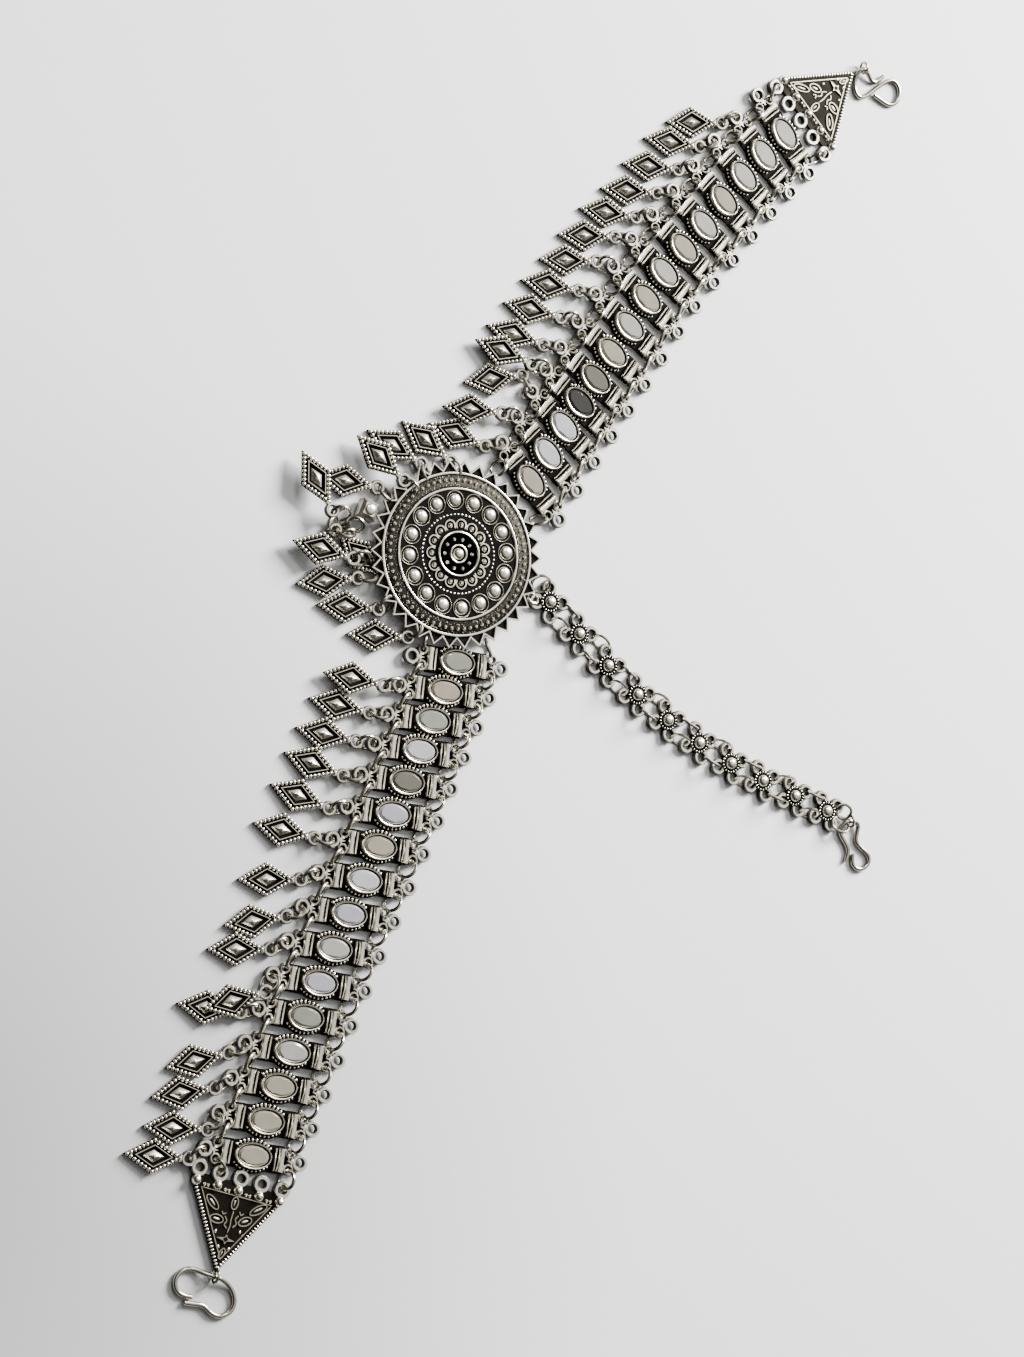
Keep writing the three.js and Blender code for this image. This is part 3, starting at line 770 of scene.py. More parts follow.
    def rosette(self) -> list[Shape]:
        """Return the notched ring, the scallops with their beads, and the beads round the boss."""
        made = []
        for i in range(self.notches):
            angle = 360 * i / self.notches
            x, y = polar(self.inner_ring, angle)
            made.append(grain(0.32, 6, 1.4).moved(x, y, 4.05, angle + 90))
        turns = np.linspace(-self.scallop_half_turn, self.scallop_half_turn, 17)
        arch = [(*polar(self.scallop_radius, turn), 4.35) for turn in turns]
        bow = wire(np.array(arch), 0.2, False, 6)
        for i in range(self.scallops):
            angle = 360 * (i + 0.5) / self.scallops
            x, y = polar(self.scallop_circle, angle)
            made.append(bow.moved(x, y, 0, angle))
            made.append(grain(0.72, 12).moved(x, y, 4.2))
        for i in range(self.hub_beads):
            x, y = polar(self.hub_bead_circle, 360 * i / self.hub_beads)
            made.append(grain(0.52).moved(x, y, 4.25))
        return made

    def build(self, wardrobe: Wardrobe) -> None:
        """Make the medallion."""
        face = [*self.rings(), *self.granulation(), *self.dome_row(), *self.rosette()]
        shape = joined([self.shield(), self.edge(), *face])
        wardrobe.dress("medallion_face", shape, ["medallion"])


@dataclass
class MirrorLink:
    """One link: a mirror in its bezel on a beaded skirt, bars at its ends and loops beyond them."""

    half_width: float = 8.3
    bar_half: float = 2.95
    flange_half: float = 3.4
    skirt: tuple[float, float] = (5.9, 4.35)
    bezel: tuple[float, float] = (4.75, 3.2)
    seat: float = 0.68
    facets: int = 18
    table_rise: float = 0.4
    beads_per_arc: int = 10
    bead_step: float = 12.0
    side_loop: tuple[float, float] = (9.65, 2.0)
    outer_loop: float = 12.5

    def ground(self) -> Shape:
        """Return the black plate that carries everything."""
        outline = []
        corner = math.degrees(math.atan2(self.flange_half, self.half_width))
        angles = sorted({*np.linspace(-180, 175, 72), corner, -corner, 180 - corner, corner - 180})
        for angle in angles:
            c, s = polar(1, angle)
            to_skirt = 1 / math.hypot(c / self.skirt[0], s / self.skirt[1])
            to_bars = min(self.half_width / max(abs(c), 1e-6), self.flange_half / max(abs(s), 1e-6))
            reach = max(to_skirt, to_bars)
            outline.append((reach * c, reach * s))
        return slab(np.array(outline), 0.6, 1.25, 0.12, Finish.BLACKENED, 0.9)

    def bezel_rim(self) -> Shape:
        """Return the bezel, a bright line round the mirror that is black on both sides with patina and
        painted shade.
        """
        bx, by = self.bezel
        # Offset outwards, height, and patina and painted shade, from the skirt up and over the bezel's lip.
        wall = [(0.4, 1.1, 1.0), (0.12, 1.3, 1.0), (0.06, 2.2, 0.7), (0.0, 2.7, 0.1)]
        wall += [(-0.18, 2.9, 0.0), (-0.34, 2.85, 0.05), (-0.4, 2.3, 1.0), (-0.8, 2.2, 1.0)]
        rim = [oval(bx + d, by + d, z, 40) for d, z, _ in wall]
        return loft(rim, [t for _, _, t in wall], caps=False)

    def glass(self, seed: int) -> Shape:
        """Return the mirror, cut by hand: a flat table with an uneven bevel round it."""
        chance = random.Random(seed)
        rx, ry = self.bezel[0] - self.seat, self.bezel[1] - self.seat
        step = 360 / self.facets
        angles = np.radians([step * i + chance.uniform(-5, 5) for i in range(self.facets)])
        around = np.stack([np.cos(angles), np.sin(angles), 0 * angles], axis=1)
        inset = np.array([[chance.uniform(0.4, 0.75)] for _ in range(self.facets)])
        edge = around * (rx, ry, 0.0) + (0.0, 0.0, 2.45)
        table = edge - around * inset + (0.0, 0.0, self.table_rise)
        sunk = table - (0.0, 0.0, 0.02)
        bevel = loft([edge, table], [0.0, 0.0], Finish.MIRROR, caps=False, flat=True)
        return joined([bevel, loft([sunk, table], [0.0, 0.0], Finish.MIRROR, flat=True)])

    def beads(self) -> list[Shape]:
        """Return the two arcs of beads, long ones on the side that the drops' chain leads to."""
        made = []
        middle = (self.beads_per_arc - 1) / 2
        for side, radius, stretch, set_back in ((90, 0.4, 1.35, 0.5), (-90, 0.3, 1.2, 0.62)):
            for i in range(self.beads_per_arc):
                angle = math.radians(side + (i - middle) * self.bead_step)
                x = (self.skirt[0] - set_back) * math.cos(angle)
                y = (self.skirt[1] - set_back) * math.sin(angle)
                made.append(grain(radius, 8, stretch).moved(x, y, 1.35, math.degrees(angle)))
        return made

    def end(self) -> Shape:
        """Return the bars and the three loops on the +X side."""
        x, y = self.side_loop
        star = [polar(1.3 if i % 2 == 0 else 0.4, 45 * i) for i in range(8)]
        flange = np.array([(7.9, -2.9), (9.5, -1.9), (9.5, 1.9), (7.9, 2.9)])
        pieces = [
            bar(1.55, 2 * self.bar_half, 1.1, 2.5, 0.25).moved(7.5, 0),
            bar(0.45, 2 * self.bar_half - 0.2, 1.1, 2.2).moved(5.95, 0),
            eyelet(2.1, 1.05, 0.4, 2.1).moved(self.outer_loop, 0),
            slab(np.array(star), 1.45, 2.2, 0.15, Finish.SILVER, 0.15).moved(x + 0.65, 0),
            slab(flange, 0.9, 1.4, 0.1, Finish.BLACKENED, 0.95),
        ]
        for side in (y, -y):
            pieces.append(eyelet(1.4, 0.75, 0.5, 2.2).moved(x, side))
        return joined(pieces)

    def shape(self) -> Shape:
        """Return the link without its mirror, its loops on X."""
        end = self.end()
        return joined([self.ground(), self.bezel_rim(), *self.beads(), end, end.moved(0, 0, 0, 180)])


@dataclass
class RhombicDrop:
    """One drop: a beaded rhombus with a pyramid inside a raised rim, hung by an eye."""

    half_length: float = 7.5
    half_width: float = 4.25
    eye_to_centre: float = 8.9
    beads: int = 7
    bead_radius: float = 0.5
    bead_stretch: float = 1.15
    bead_share: float = 0.88
    rim_shares: tuple[float, float] = (0.65, 0.57)
    pyramid_share: float = 0.37

    def rhombus(self, share: float, z: float) -> np.ndarray:
        """Return the four corners of a rhombus that is a share of the whole."""
        corners = oval(self.half_length * share, self.half_width * share, z, 4)
        return corners + np.array([self.eye_to_centre, 0, 0])

    def rim(self, outer: float, inner: float, bottom: float, top: float) -> Shape:
        """Return a raised frame between two rhombi."""
        rings = [self.rhombus(outer, bottom), self.rhombus(outer - 0.02, top)]
        rings += [self.rhombus(inner + 0.02, top), self.rhombus(inner, bottom)]
        return loft(rings, [0.7, 0.0, 0.0, 0.9], caps=False, flat=True)

    def shape(self) -> Shape:
        """Return the drop with its eye at the origin and its tip on +X."""
        outline = self.rhombus(1.0, 0.0)[:, :2]
        foot = self.pyramid_share
        pieces = [
            slab(outline, 0.1, 0.85, 0.1, Finish.BLACKENED, 0.9),
            self.rim(*self.rim_shares, 0.8, 1.5),
            loft([self.rhombus(foot + 0.02, 0.8), self.rhombus(foot, 0.95)], [1.0, 1.0], flat=True),
            loft(
                [self.rhombus(foot, 0.95), self.rhombus(0.24, 1.35), self.rhombus(0.02, 1.95)],
                [0.95, 0.25, 0.0],
                flat=True,
            ),
            eyelet(1.9, 1.0, -0.4, 1.2),
            grain(0.55).moved(2.05, 0.42, 0.85),
            grain(0.55).moved(2.05, -0.42, 0.85),
        ]
        corners = self.rhombus(self.bead_share, 0.0)
        for start, end in zip(corners, np.roll(corners, -1, axis=0)):
            slope = math.degrees(math.atan2(end[1] - start[1], end[0] - start[0])) + 90
            for i in range(self.beads):
                x, y, _ = start + (end - start) * i / self.beads
                pieces.append(grain(self.bead_radius, 8, self.bead_stretch).moved(x, y, 0.95, slope))
        return joined(pieces)


@dataclass
class HungDrops:
    """A row of drops with the jump rings that they hang on."""

    drop: Shape = field(default_factory=lambda: RhombicDrop().shape())
    ring_span: float = 4.8
    # How much higher the drops of the second layer lie, on a band and at the medallion.
    band_layer: float = 1.32
    edge_layer: float = 2.2
    eye_height: float = 0.9
    length: float = 15.3
    ring_height: float = 2.3

    def hung(self, eye: tuple[float, float], swing: float, lift: float) -> Shape:
        """Return a drop at its eye, raised there a little, its tip low."""
        slope = math.atan2(self.eye_height, self.length)
        lean = Matrix.Rotation(math.radians(swing), 4, "Z") @ Matrix.Rotation(slope, 4, "Y")
        return self.drop.placed(Matrix.Translation((*eye, self.eye_height + lift)) @ lean)

    def on_band(
        self, rows: list[tuple[int, float, float, int]], links: list[Spot], rest: float
    ) -> list[Shape]:
        """Return the drops of a band and their rings.

        Args:
            rows: The drops' table.
            links: The band's links.
            rest: The outer loop's distance from a link's middle.

        Returns:
            A shape for each drop with its ring.
        """
        made = []
        for link, way, swing, layer in rows:
            loop = links[link - 1].at(-rest, 0)
            dx, dy = polar(self.ring_span, way)
            eye = (loop[0] + dx, loop[1] + dy)
            tilt = 52 if link % 2 else -48
            lift = layer * self.band_layer
            ring = joining_ring(loop, eye, self.ring_height + lift / 2, tilt)
            made.append(joined([self.hung(eye, swing, lift), ring]))
        return made

    def round_medallion(self) -> list[Shape]:
        """Return the drops that hang round the medallion, with their rings."""
        made = []
        for i, (around, reach, swing, layer) in enumerate(MEDALLION_DROPS):
            eye = polar(reach, around)
            inner = polar(reach - self.ring_span, around)
            lift = layer * self.edge_layer
            ring = joining_ring(inner, eye, self.ring_height + lift / 2, 50 if i % 2 else -44)
            made.append(joined([self.hung(eye, swing, lift), ring]))
        return made

    def build(self, wardrobe: Wardrobe, lower: list[Spot], upper: list[Spot], outer_loop: float) -> None:
        """Make all drops."""
        for band, rows, links in (("lower", LOWER_DROPS, lower), ("upper", UPPER_DROPS, upper)):
            for shape, (link, *_) in zip(self.on_band(rows, links, outer_loop), rows):
                wardrobe.dress(f"{band}_rhombus_{link:02d}", shape, [f"{band}_drop_{link:02d}"])
        for i, shape in enumerate(self.round_medallion(), 1):
            wardrobe.dress(f"medallion_rhombus_{i:02d}", shape, [f"medallion_drop_{i:02d}"])


# What each mirror shows, from the medallion outwards.
LOWER_TONES = [
    MirrorTone.OLIVE_GREY, MirrorTone.PEACH, MirrorTone.GREEN_GREY, MirrorTone.WHITE, MirrorTone.DARK_OLIVE,
    MirrorTone.LILAC, MirrorTone.BEIGE_GREY, MirrorTone.WHITE, MirrorTone.LILAC, MirrorTone.LIGHT_GREY,
    MirrorTone.LILAC, MirrorTone.OLIVE_GREY, MirrorTone.LIGHT_GREY, MirrorTone.BEIGE_GREY,
    MirrorTone.BEIGE_GREY, MirrorTone.BEIGE_GREY,
]  # fmt: skip
UPPER_TONES = [
    MirrorTone.BEIGE_GREY, MirrorTone.WHITE, MirrorTone.WHITE, MirrorTone.DARK, MirrorTone.DARK_OLIVE,
    MirrorTone.BEIGE_GREY, MirrorTone.LIGHT_GREY, MirrorTone.BEIGE_GREY, MirrorTone.LIGHT_GREY,
    MirrorTone.BEIGE_GREY, MirrorTone.LIGHT_GREY, MirrorTone.BEIGE_GREY, MirrorTone.LIGHT_GREY,
    MirrorTone.LIGHT_GREY, MirrorTone.LIGHT_GREY,
]  # fmt: skip


@dataclass
class LinkBand:
    """A band of links with the jump rings between them."""

    name: str
    links: list[Spot]
    tones: list[MirrorTone]
    outward: int
    plate_eyes: list[tuple[float, float]]
    link: MirrorLink = field(default_factory=MirrorLink)
    glass_seed: int = 31

    def ring_between(self, start: tuple[float, float], end: tuple[float, float], tilt: float) -> Shape:
        """Return the jump ring that joins two side loops."""
        dx, dy = end[0] - start[0], end[1] - start[1]
        radius = min(math.hypot(dx, dy) / 2 - 0.15, 2.3)
        middle = ((start[0] + end[0]) / 2, (start[1] + end[1]) / 2)
        high = 0.4 + max(1.4, radius * math.sin(math.radians(abs(tilt))))
        turn = Matrix.Translation((*middle, high)) @ Matrix.Rotation(math.atan2(dy, dx), 4, "Z")
        return jump_ring(radius, 0.9, tilt).placed(turn)

    def rings(self) -> Shape:
        """Return all the band's own jump rings."""
        made = []
        x, y = self.link.side_loop
        for side in (1, -1):
            for i, (near, far) in enumerate(zip(self.links, self.links[1:])):
                start = near.at(side * x, self.outward * y)
                end = far.at(side * x, -self.outward * y)
                made.append(self.ring_between(start, end, side * (56 + 5 * (i % 3))))
            first = self.links[0].at(side * x, -self.outward * y)
            share = EDGE_HOLD / math.hypot(*first)
            made.append(self.ring_between(first, (first[0] * share, first[1] * share), 62))
            last = self.links[-1].at(side * x, self.outward * y)
            eye = min(self.plate_eyes, key=lambda p: math.hypot(p[0] - last[0], p[1] - last[1]))
            made.append(self.ring_between(last, eye, 60))
        return joined(made)

    def build(self, wardrobe: Wardrobe) -> None:
        """Make the links and their rings."""
        pattern = self.link.shape()
        for i, (spot, tone) in enumerate(zip(self.links, self.tones), 1):
            whole = joined([pattern, self.link.glass(i * self.glass_seed)])
            link = whole.moved(spot.x, spot.y, 0, spot.facing - 90)
            wardrobe.dress(f"{self.name}_link_{i:02d}", link, [f"{self.name}_band"] if i == 1 else [], tone)
        wardrobe.dress(f"{self.name}_jump_rings", self.rings(), [])


@dataclass
class PartingChain:
    """The chain of four-loop flowers."""

    loop_circle: float = 3.7
    loop_radius: float = 2.1
    loop_hole: float = 1.05
    core_radius: float = 2.7
    # How far the core widens, and the height there.
    core_steps: tuple[tuple[float, float], ...] = ((0.0, 0.5), (0.05, 1.6))
    beads: int = 18
    bead_circle: float = 2.3

    def flower(self) -> Shape:
        """Return one flower with its loops on the diagonals."""
        radius = self.core_radius
        core = [oval(radius + flare, radius + flare, z, 24) for flare, z in self.core_steps]
        pieces = [
            loft(core, [1.0, 1.0], Finish.BLACKENED),
            dome(1.6, 1.25, foot=0.9).moved(0, 0, 1.6),
        ]
        for i in range(self.beads):
            angle = 360 * i / self.beads
            x, y = polar(self.bead_circle, angle)
            pieces.append(grain(0.24, 6, 1.5).moved(x, y, 1.6, angle))
        for i in range(4):
            x, y = polar(self.loop_circle, 45 + 90 * i)
            pieces.append(eyelet(self.loop_radius, self.loop_hole, 0.0, 1.5).moved(x, y))
        return joined(pieces)

    def hole(self, flower: Spot, along: int, side: int) -> tuple[float, float]:
        """Return the hole of a flower's loop, ahead or behind, on one side of the chain."""
        reach = self.loop_circle * math.sqrt(0.5)
        dx, dy = polar(1, flower.facing)
        forward, across = along * reach, side * reach
        return flower.x + forward * dx - across * dy, flower.y + forward * dy + across * dx

    def build(self, wardrobe: Wardrobe, flowers: list[Spot]) -> None:
        """Make the flowers, their jump rings and the ring at the chain's end."""
        pattern = self.flower()
        made = [pattern.moved(s.x, s.y, 0, s.facing) for s in flowers]
        for side in (1, -1):
            for i, (near, far) in enumerate(zip(flowers, flowers[1:])):
                tilt = (74 if i % 2 else -71) * side
                made.append(joining_ring(self.hole(near, 1, side), self.hole(far, -1, side), 2.3, tilt, 0.7))
            first = self.hole(flowers[0], -1, side)
            share = (EDGE_HOLD + 0.2) / math.hypot(*first)
            made.append(joining_ring((first[0] * share, first[1] * share), first, 2.0, 36 * side))
            end = (PARTING_RING.x - 0.6, PARTING_RING.y + side * 0.9)
            made.append(joining_ring(self.hole(flowers[-1], 1, side), end, 1.9, 30 * side))
        made.append(upright_ring(PARTING_RING))
        wardrobe.dress("flower_chain", joined(made), ["parting_chain"])


def upright_ring(spot: Spot, radius: float = 1.5, gauge: float = 0.75) -> Shape:
    """Return the ring that a hook passes through, standing at a spot along its facing."""
    angles = np.linspace(0, 2 * math.pi, 32, endpoint=False)
    path = np.stack([radius * np.cos(angles), 0 * angles, radius * np.sin(angles)], axis=1)
    ring = wire(path, gauge / 2, True, 8, Finish.WIRE)
    return ring.moved(spot.x, spot.y, radius + gauge / 2, spot.facing)


@dataclass
class EndPlate:
    """The triangular plate: five domes, raised leaves and a flower on black, five loops."""

    name: str
    spot: Spot
    # Where the ring stands across the plate and beyond its apex, and its turn from the plate's facing.
    ring_across: float
    ring_beyond: float
    ring_turn: float
    base: float = 24.8
    height: float = 20.2
    loops: int = 5
    inset: float = 1.2
    loop_reach: float = 2.6
    thickness: float = 1.35
    centre_share: float = 0.36
    line_inset: float = 1.7
    mill_inset: float = 0.35
    mill_marks: int = 26

    def eyes(self) -> list[tuple[float, float]]:
        """Return the loops' centres in the plate's frame."""
        spacing = (self.base - 2 * self.inset) / (self.loops - 1)
        return [(self.inset - self.base / 2 + i * spacing, -self.loop_reach) for i in range(self.loops)]

    def band_eyes(self) -> list[tuple[float, float]]:
        """Return the places on the table of the loops' centres."""
        return [self.spot.at(x, y) for x, y in self.eyes()]

    def ring_place(self) -> tuple[float, float]:
        """Return the place on the table of the upright ring."""
        return self.spot.at(self.ring_across, self.height + self.ring_beyond)

    def outline(self, inset: float) -> np.ndarray:
        """Return the triangle's corners, moved in from its edges."""
        corners = np.array([(self.base / 2, 0.0), (0.0, self.height), (-self.base / 2, 0.0)])
        centre_height = self.height * self.centre_share
        middle = np.array([0.0, centre_height])
        return middle + (corners - middle) * (1 - inset / centre_height)

    def strip(self) -> np.ndarray:
        """Return the outline of the ground behind the domes."""
        half = self.base / 2
        return np.array([(half, -1.5), (half, 1.2), (-half, 1.2), (-half, -1.5)])

    def line(self, inset: float, radius: float, z: float) -> Shape:
        """Return a raised line that follows the outline."""
        corners = self.outline(inset)
        path = []
        for start, end in zip(corners, np.roll(corners, -1, axis=0)):
            path += [(*(start + (end - start) * t), z) for t in np.linspace(0, 0.95, 14)]
        return wire(np.array(path), radius, True, 6, Finish.WORN)

    def ornament(self) -> list[Shape]:
        """Return the leaves, the four-point flower, the stems and the dots."""
        made = []
        # Place, length, width and turn of each leaf.
        leaves = [
            (5.7, 4.5, 2.2, 0.9, -37), (-6.4, 3.6, 2.4, 0.9, 38), (3.6, 8.1, 1.75, 1.0, 0),
            (-3.8, 7.1, 1.75, 1.0, 30), (0.0, 3.5, 1.5, 0.85, 90), (0.0, 15.8, 1.35, 0.65, 75),
        ]  # fmt: skip
        for x, y, length, width, turn in leaves:
            rim = wire(oval(length, width, 1.48, 20), 0.2, True, 6, Finish.WORN)
            ridge = [oval(length * 0.6, width * 0.4, 1.3, 12), oval(length * 0.3, 0.1, 1.5, 12)]
            core = loft(ridge, [0.9, 0.5])
            made.append(joined([rim, core]).moved(x, y, 0, turn))
        petals = [polar((2.6, 0.65, 1.3, 0.65)[i % 4], 45 * i) for i in range(8)]
        made.append(slab(np.array(petals), 1.3, 1.75, 0.15, Finish.WORN, 0.05).moved(0, 12.3))
        made.append(loft([oval(0.75, 0.75, 1.7, 4), oval(0.7, 0.7, 1.8, 4)], [1.0, 1.0]).moved(0, 12.3))
        stems = [
            [(-0.2, 5.6), (-0.1, 7.4), (-0.25, 9.0), (0.0, 10.6)],
            [(0.5, 9.7), (1.3, 9.0), (0.9, 8.0), (1.6, 7.0)],
            [(-1.0, 9.2), (-1.7, 8.2), (-1.2, 7.2), (-1.7, 6.2)],
            [(1.6, 6.2), (2.2, 6.6), (2.7, 6.1)],
            [(-2.9, 5.4), (-2.3, 5.9), (-1.8, 5.2)],
        ]
        for stem in stems:
            path = spline([(x, y, 1.45) for x, y in stem], np.linspace(0, 1, 12))
            made.append(wire(path, 0.2, False, 6, Finish.WORN))
        for x, y, turn in ((3.0, 11.0, 80), (-3.2, 9.9, 100), (-1.4, 14.4, 60), (1.3, 14.4, 120)):
            made.append(grain(0.4, 8, 1.5).moved(x, y, 1.3, turn))
        return made

    def shape(self) -> Shape:
        """Return the plate, the middle of its base at the origin and its apex on +Y."""
        pieces = [
            slab(self.outline(0.0), 0.0, self.thickness, 0.15, Finish.BLACKENED, 0.7),
            self.line(self.line_inset, 0.2, 1.42),
            slab(self.strip(), 0.4, 1.3, 0.1, Finish.BLACKENED, 0.6),
            *self.ornament(),
        ]
        corners = self.outline(self.mill_inset)
        for start, end in ((corners[0], corners[1]), (corners[1], corners[2])):
            slope = math.degrees(math.atan2(end[1] - start[1], end[0] - start[0]))
            for t in np.linspace(0.02, 0.98, self.mill_marks):
                x, y = start + (end - start) * t
                pieces.append(grain(0.32, 6, 1.9).moved(x, y, 1.25, slope + 90))
        eyes = self.eyes()
        for i, (x, y) in enumerate(eyes):
            pieces.append(dome(1.3, 1.5, foot=0.95).moved(x, 0.4, 1.25))
            pieces.append(eyelet(2.2, 1.05, 0.0, 1.7).moved(x, y))
            pieces.append(bar(1.2, 1.4, 0.5, 1.3).moved(x, -0.5))
            if i:
                middle = (x + eyes[i - 1][0]) / 2
                for offset in (-0.5, 0.5):
                    pieces.append(grain(0.45).moved(middle + offset, 0.9, 1.35))
        return joined(pieces)

    def build(self, wardrobe: Wardrobe) -> None:
        """Make the plate, its ring and the neck between them."""
        shape = self.shape().moved(self.spot.x, self.spot.y, 0, self.spot.facing - 90)
        place = self.ring_place()
        ring = upright_ring(Spot(*place, self.spot.facing + self.ring_turn))
        apex = self.spot.at(0, self.height - 0.2)
        neck = wire(np.linspace((*apex, 0.9), (*place, 0.5), 4), 0.4, False)
        wardrobe.dress(f"{self.name}_triangle", joined([shape, ring, neck]), [f"{self.name}_end_plate"])


# The hooks' wire, point by point from end to end, as seen from the middle of its ring.
LOWER_HOOK = [
    (-7.6, -5.9), (-5.0, -6.4), (-2.6, -6.8), (-0.9, -8.7), (1.6, -9.7), (4.4, -8.7), (5.5, -6.2),
    (4.6, -3.2), (2.2, -1.0), (0.0, 0.0), (-2.3, 0.6), (-4.6, 1.8), (-7.1, 2.1), (-9.4, 0.9),
    (-10.1, -1.6), (-8.8, -3.9), (-5.8, -4.7),
]  # fmt: skip
UPPER_HOOK = [
    (6.9, -1.3), (3.8, -3.6), (1.8, -1.5), (0.0, 0.0), (-2.1, -2.2), (-2.4, -5.3), (-0.9, -8.0), (1.7, -7.1),
    (4.5, -4.9), (8.1, -2.4), (10.8, -2.2), (12.3, -4.8), (11.2, -8.0), (8.7, -9.0), (6.2, -7.9), (4.0, -6.8),
]  # fmt: skip
PARTING_HOOK = [
    (-0.9, -10.5), (0.0, -7.6), (-1.6, -4.9), (-2.9, -2.7), (-1.9, -0.6), (0.0, 0.0), (2.3, -0.5),
    (2.9, -1.9), (2.2, -5.1), (3.8, -7.0), (6.4, -9.1), (6.0, -11.6), (3.4, -12.9), (1.2, -11.6),
    (1.2, -8.9),
]  # fmt: skip


@dataclass
class WireHook:
    """A double hook bent from round wire, which rises where it passes through its ring."""

    name: str
    route: list[tuple[float, float]]
    ring: tuple[float, float]
    gauge: float = 1.25
    ring_height: float = 1.875
    rise_length: float = 5.0
    steps: int = 120
    smoothings: int = 4

    def build(self, wardrobe: Wardrobe) -> None:
        """Make the hook."""
        radius = self.gauge / 2
        knots = []
        for x, y in self.route:
            near = max(0.0, 1 - math.hypot(x, y) / self.rise_length)
            rise = near * near * (3 - 2 * near) * (self.ring_height - radius)
            knots.append((self.ring[0] + x, self.ring[1] + y, radius + rise))
        path = spline(knots, np.linspace(0, 1, self.steps))
        # A bent wire has no kinks, so each point is drawn to the mean of its neighbours.
        for _ in range(self.smoothings):
            path[2:-2] = (path[:-4] + path[1:-3] + path[2:-2] + path[3:-1] + path[4:]) / 5
        path[:, 2] = np.maximum(path[:, 2], radius)
        shape = wire(path, radius, False, 12, Finish.WIRE)
        made = wardrobe.dress(self.name + "_wire", shape, [self.name])


@dataclass
class CubeBead:
    """The cube bead at the medallion's edge, with blunt edges and a dome on its top."""

    side: float = 4.6
    bevel: float = 0.8
    reach: float = 26.35
    around: float = 158.0

    def build(self, wardrobe: Wardrobe) -> None:
        """Make the bead."""
        half, bevel = self.side / 2, self.bevel
        rings = []
        for inset, z in ((bevel, -half), (0.0, bevel - half), (0.0, half - bevel), (bevel, half)):
            reach = (half - inset) * math.sqrt(2)
            rings.append(oval(reach, reach, z, 4, 45))
        # Shade is painted on the cube, darker towards its foot.
        cube = loft(rings, [0.95, 0.85, 0.4, 0.1])
        pieces = [cube, dome(1.5, 0.6, foot=0.5).moved(0, 0, half - 0.05)]
        x, y = polar(self.reach, self.around)
        wardrobe.dress("cube", joined(pieces).moved(x, y, half, self.around), ["cube_bead"])


@dataclass
class Tangle:
    """The loose rings between the far drops and the medallion's left edge."""

    gauge: float = 1.1
    height: float = 2.4
    # Place, radius, turn and tilt of each ring.
    rings: tuple[tuple[float, float, float, float, float], ...] = (
        (-31.0, 8.4, 2.1, 20, 40),
        (-27.5, 6.2, 2.0, -35, 50),
        (-33.6, 5.8, 1.9, 70, 35),
        (-29.5, 3.6, 1.8, 10, 55),
    )

    def build(self, wardrobe: Wardrobe) -> None:
        """Make the rings."""
        made = []
        for x, y, radius, turn, tilt in self.rings:
            made.append(jump_ring(radius, self.gauge, tilt).moved(x, y, self.height, turn))
        wardrobe.dress("tangled_rings", joined(made), [])


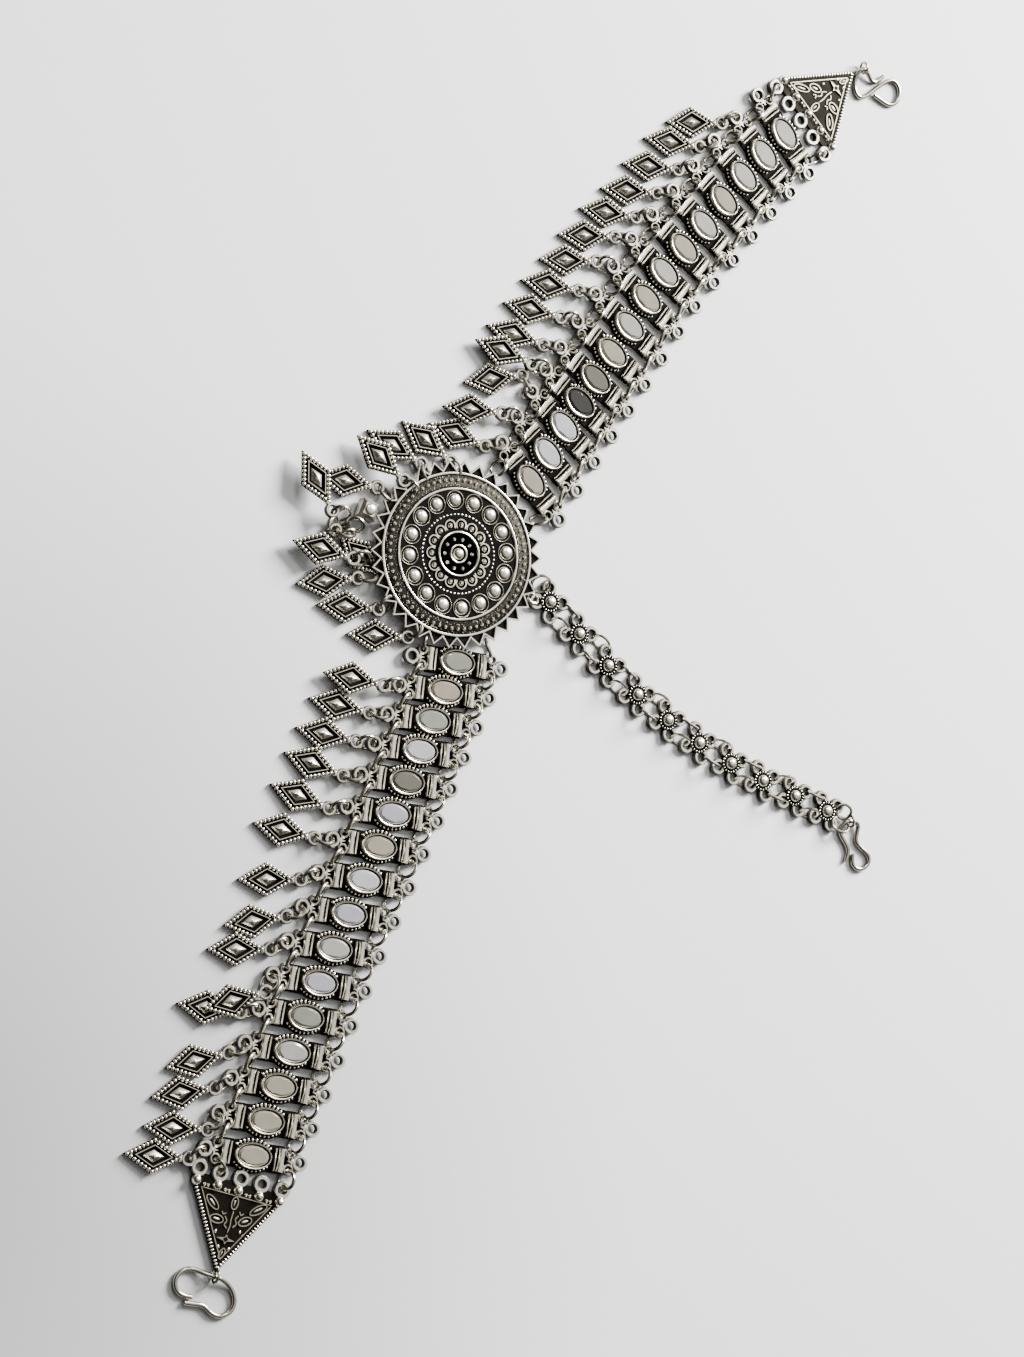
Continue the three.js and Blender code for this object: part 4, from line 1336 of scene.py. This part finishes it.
@dataclass
class Studio:
    """The pale table, the soft light and the camera of the photograph, in metres where no unit is named."""

    floor_colour: str = "#e7e7e6"
    camera_mm: tuple[float, float, float] = (-385.1, -94.0, 787.9)
    right: tuple[float, float, float] = (0.8906, 0.0, 0.4548)
    up: tuple[float, float, float] = (-0.0326, 0.9974, 0.0638)
    back: tuple[float, float, float] = (-0.4537, -0.0716, 0.8883)
    lens_mm: float = 92.85
    floor_half: float = 1.5
    floor_height: float = -0.0001
    shade_share: float = 0.4
    shade_corner: tuple[float, float, float] = (-0.17, -0.15, 0.0)
    shade_reach: tuple[float, float] = (0.04, 0.24)
    cloud_mm: float = 111.111
    cloud_depth: float = 0.04
    bright_way: tuple[float, float, float] = (0.5, 0.3, 0.81)
    sky_heights: tuple[float, float] = (0.42, 0.95)
    sky_strengths: tuple[float, float] = (0.03, 0.86)

    def camera(self) -> None:
        """Place the camera."""
        data = bpy.data.cameras.new("camera")
        data.sensor_width = 36.0
        data.lens = self.lens_mm
        data.clip_end = 10.0
        made = add_object("camera", data)
        turn = Matrix((self.right, self.up, self.back)).transposed().to_4x4()
        made.matrix_world = Matrix.Translation(Vector(self.camera_mm) * MM) @ turn
        bpy.context.scene.camera = made

    def floor(self) -> None:
        """Make the table top, a matt white board, with shade painted towards one corner."""
        mesh = bpy.data.meshes.new("table_top")
        signs = ((-1, -1), (1, -1), (1, 1), (-1, 1))
        points = [(x * self.floor_half, y * self.floor_half, self.floor_height) for x, y in signs]
        mesh.from_pydata(points, [], [(0, 1, 2, 3)])
        made = add_object("table_top", mesh)
        board, tree = new_material("white board, matt")
        place = add_node(tree, "ShaderNodeTexCoord").outputs["Object"]
        # Shade is painted on the board towards one corner, with an uneven edge.
        corner = add_node(tree, "ShaderNodeVectorMath", {0: place, 1: self.shade_corner}, operation="DISTANCE")
        clouds = add_noise(tree, self.cloud_mm, 4.0)
        uneven = add_node(
            tree,
            "ShaderNodeMath",
            {0: clouds, 1: self.cloud_depth, 2: corner.outputs["Value"]},
            operation="MULTIPLY_ADD",
        )
        near, far = self.shade_reach
        share = add_node(
            tree, "ShaderNodeMapRange", {"Value": uneven.outputs[0], "From Min": near, "From Max": far}
        )
        pale = linear(self.floor_colour)
        shaded = darkened(pale, self.shade_share)
        colour = add_mix(tree, share.outputs[0], shaded, pale)
        shader = add_node(tree, "ShaderNodeBsdfPrincipled", {"Base Color": colour, "Roughness": 0.7})
        add_node(tree, "ShaderNodeOutputMaterial", {"Surface": shader.outputs[0]})
        mesh.materials.append(board)

    def light(self) -> None:
        """Make the room's soft light and two soft boxes."""
        world = bpy.data.worlds.new("studio")
        world.use_nodes = True
        tree = world.node_tree
        tree.nodes.clear()
        direction = add_node(tree, "ShaderNodeTexCoord").outputs["Generated"]
        height = add_node(
            tree, "ShaderNodeVectorMath", {0: direction, 1: self.bright_way}, operation="DOT_PRODUCT"
        )
        # A bright ceiling over dark walls gives the metal its contrast.
        (low, high), (dark, bright) = self.sky_heights, self.sky_strengths
        ramp = add_node(
            tree,
            "ShaderNodeMapRange",
            {
                "Value": height.outputs["Value"],
                "From Min": low,
                "From Max": high,
                "To Min": dark,
                "To Max": bright,
            },
        )
        sky = add_node(
            tree, "ShaderNodeBackground", {"Color": (1.0, 1.0, 1.0, 1.0), "Strength": ramp.outputs[0]}
        )
        add_node(tree, "ShaderNodeOutputWorld", {"Surface": sky.outputs[0]})
        bpy.context.scene.world = world
        # Name, place, size and power of each soft box.
        boxes = (("window", (0.95, 0.6, 0.62), 0.5, 91.0), ("lamp", (0.1, 0.9, 1.1), 0.3, 6.0))
        for name, place, size, power in boxes:
            data = bpy.data.lights.new(name, "AREA")
            data.size = size
            data.energy = power
            made = add_object(name, data)
            made.location = place
            made.rotation_euler = (-Vector(place)).to_track_quat("-Z", "Y").to_euler()


def main() -> None:
    """Build the ornament and its studio."""
    logging.basicConfig(level=logging.INFO, format="%(name)s: %(message)s")
    studio = Studio()
    studio.camera()
    studio.floor()
    studio.light()
    wardrobe = Wardrobe()
    lower, upper = spots(LOWER_ROUTE, len(LOWER_TONES)), spots(UPPER_ROUTE, len(UPPER_TONES))
    lower_plate = EndPlate("lower", Spot(-57.4, -156.3, -106), 0.0, 1.2, 0.0)
    upper_plate = EndPlate("upper", Spot(105.1, 123.5, 42), 1.1, 3.0, 60.0)
    Medallion().build(wardrobe)
    LinkBand("lower", lower, LOWER_TONES, -1, lower_plate.band_eyes()).build(wardrobe)
    LinkBand("upper", upper, UPPER_TONES, 1, upper_plate.band_eyes()).build(wardrobe)
    HungDrops().build(wardrobe, lower, upper, MirrorLink().outer_loop)
    PartingChain().build(wardrobe, spots(PARTING_ROUTE, FLOWER_COUNT))
    lower_plate.build(wardrobe)
    upper_plate.build(wardrobe)
    WireHook("lower_hook", LOWER_HOOK, lower_plate.ring_place()).build(wardrobe)
    WireHook("upper_hook", UPPER_HOOK, upper_plate.ring_place()).build(wardrobe)
    WireHook("parting_hook", PARTING_HOOK, (PARTING_RING.x, PARTING_RING.y)).build(wardrobe)
    CubeBead().build(wardrobe)
    Tangle().build(wardrobe)


def corners(bounds: object) -> list[list[float]]:
    """Return a box's two corners as plain lists."""
    return [[float(value) for value in corner] for corner in bounds]


if __name__ == "__main__":
    main()
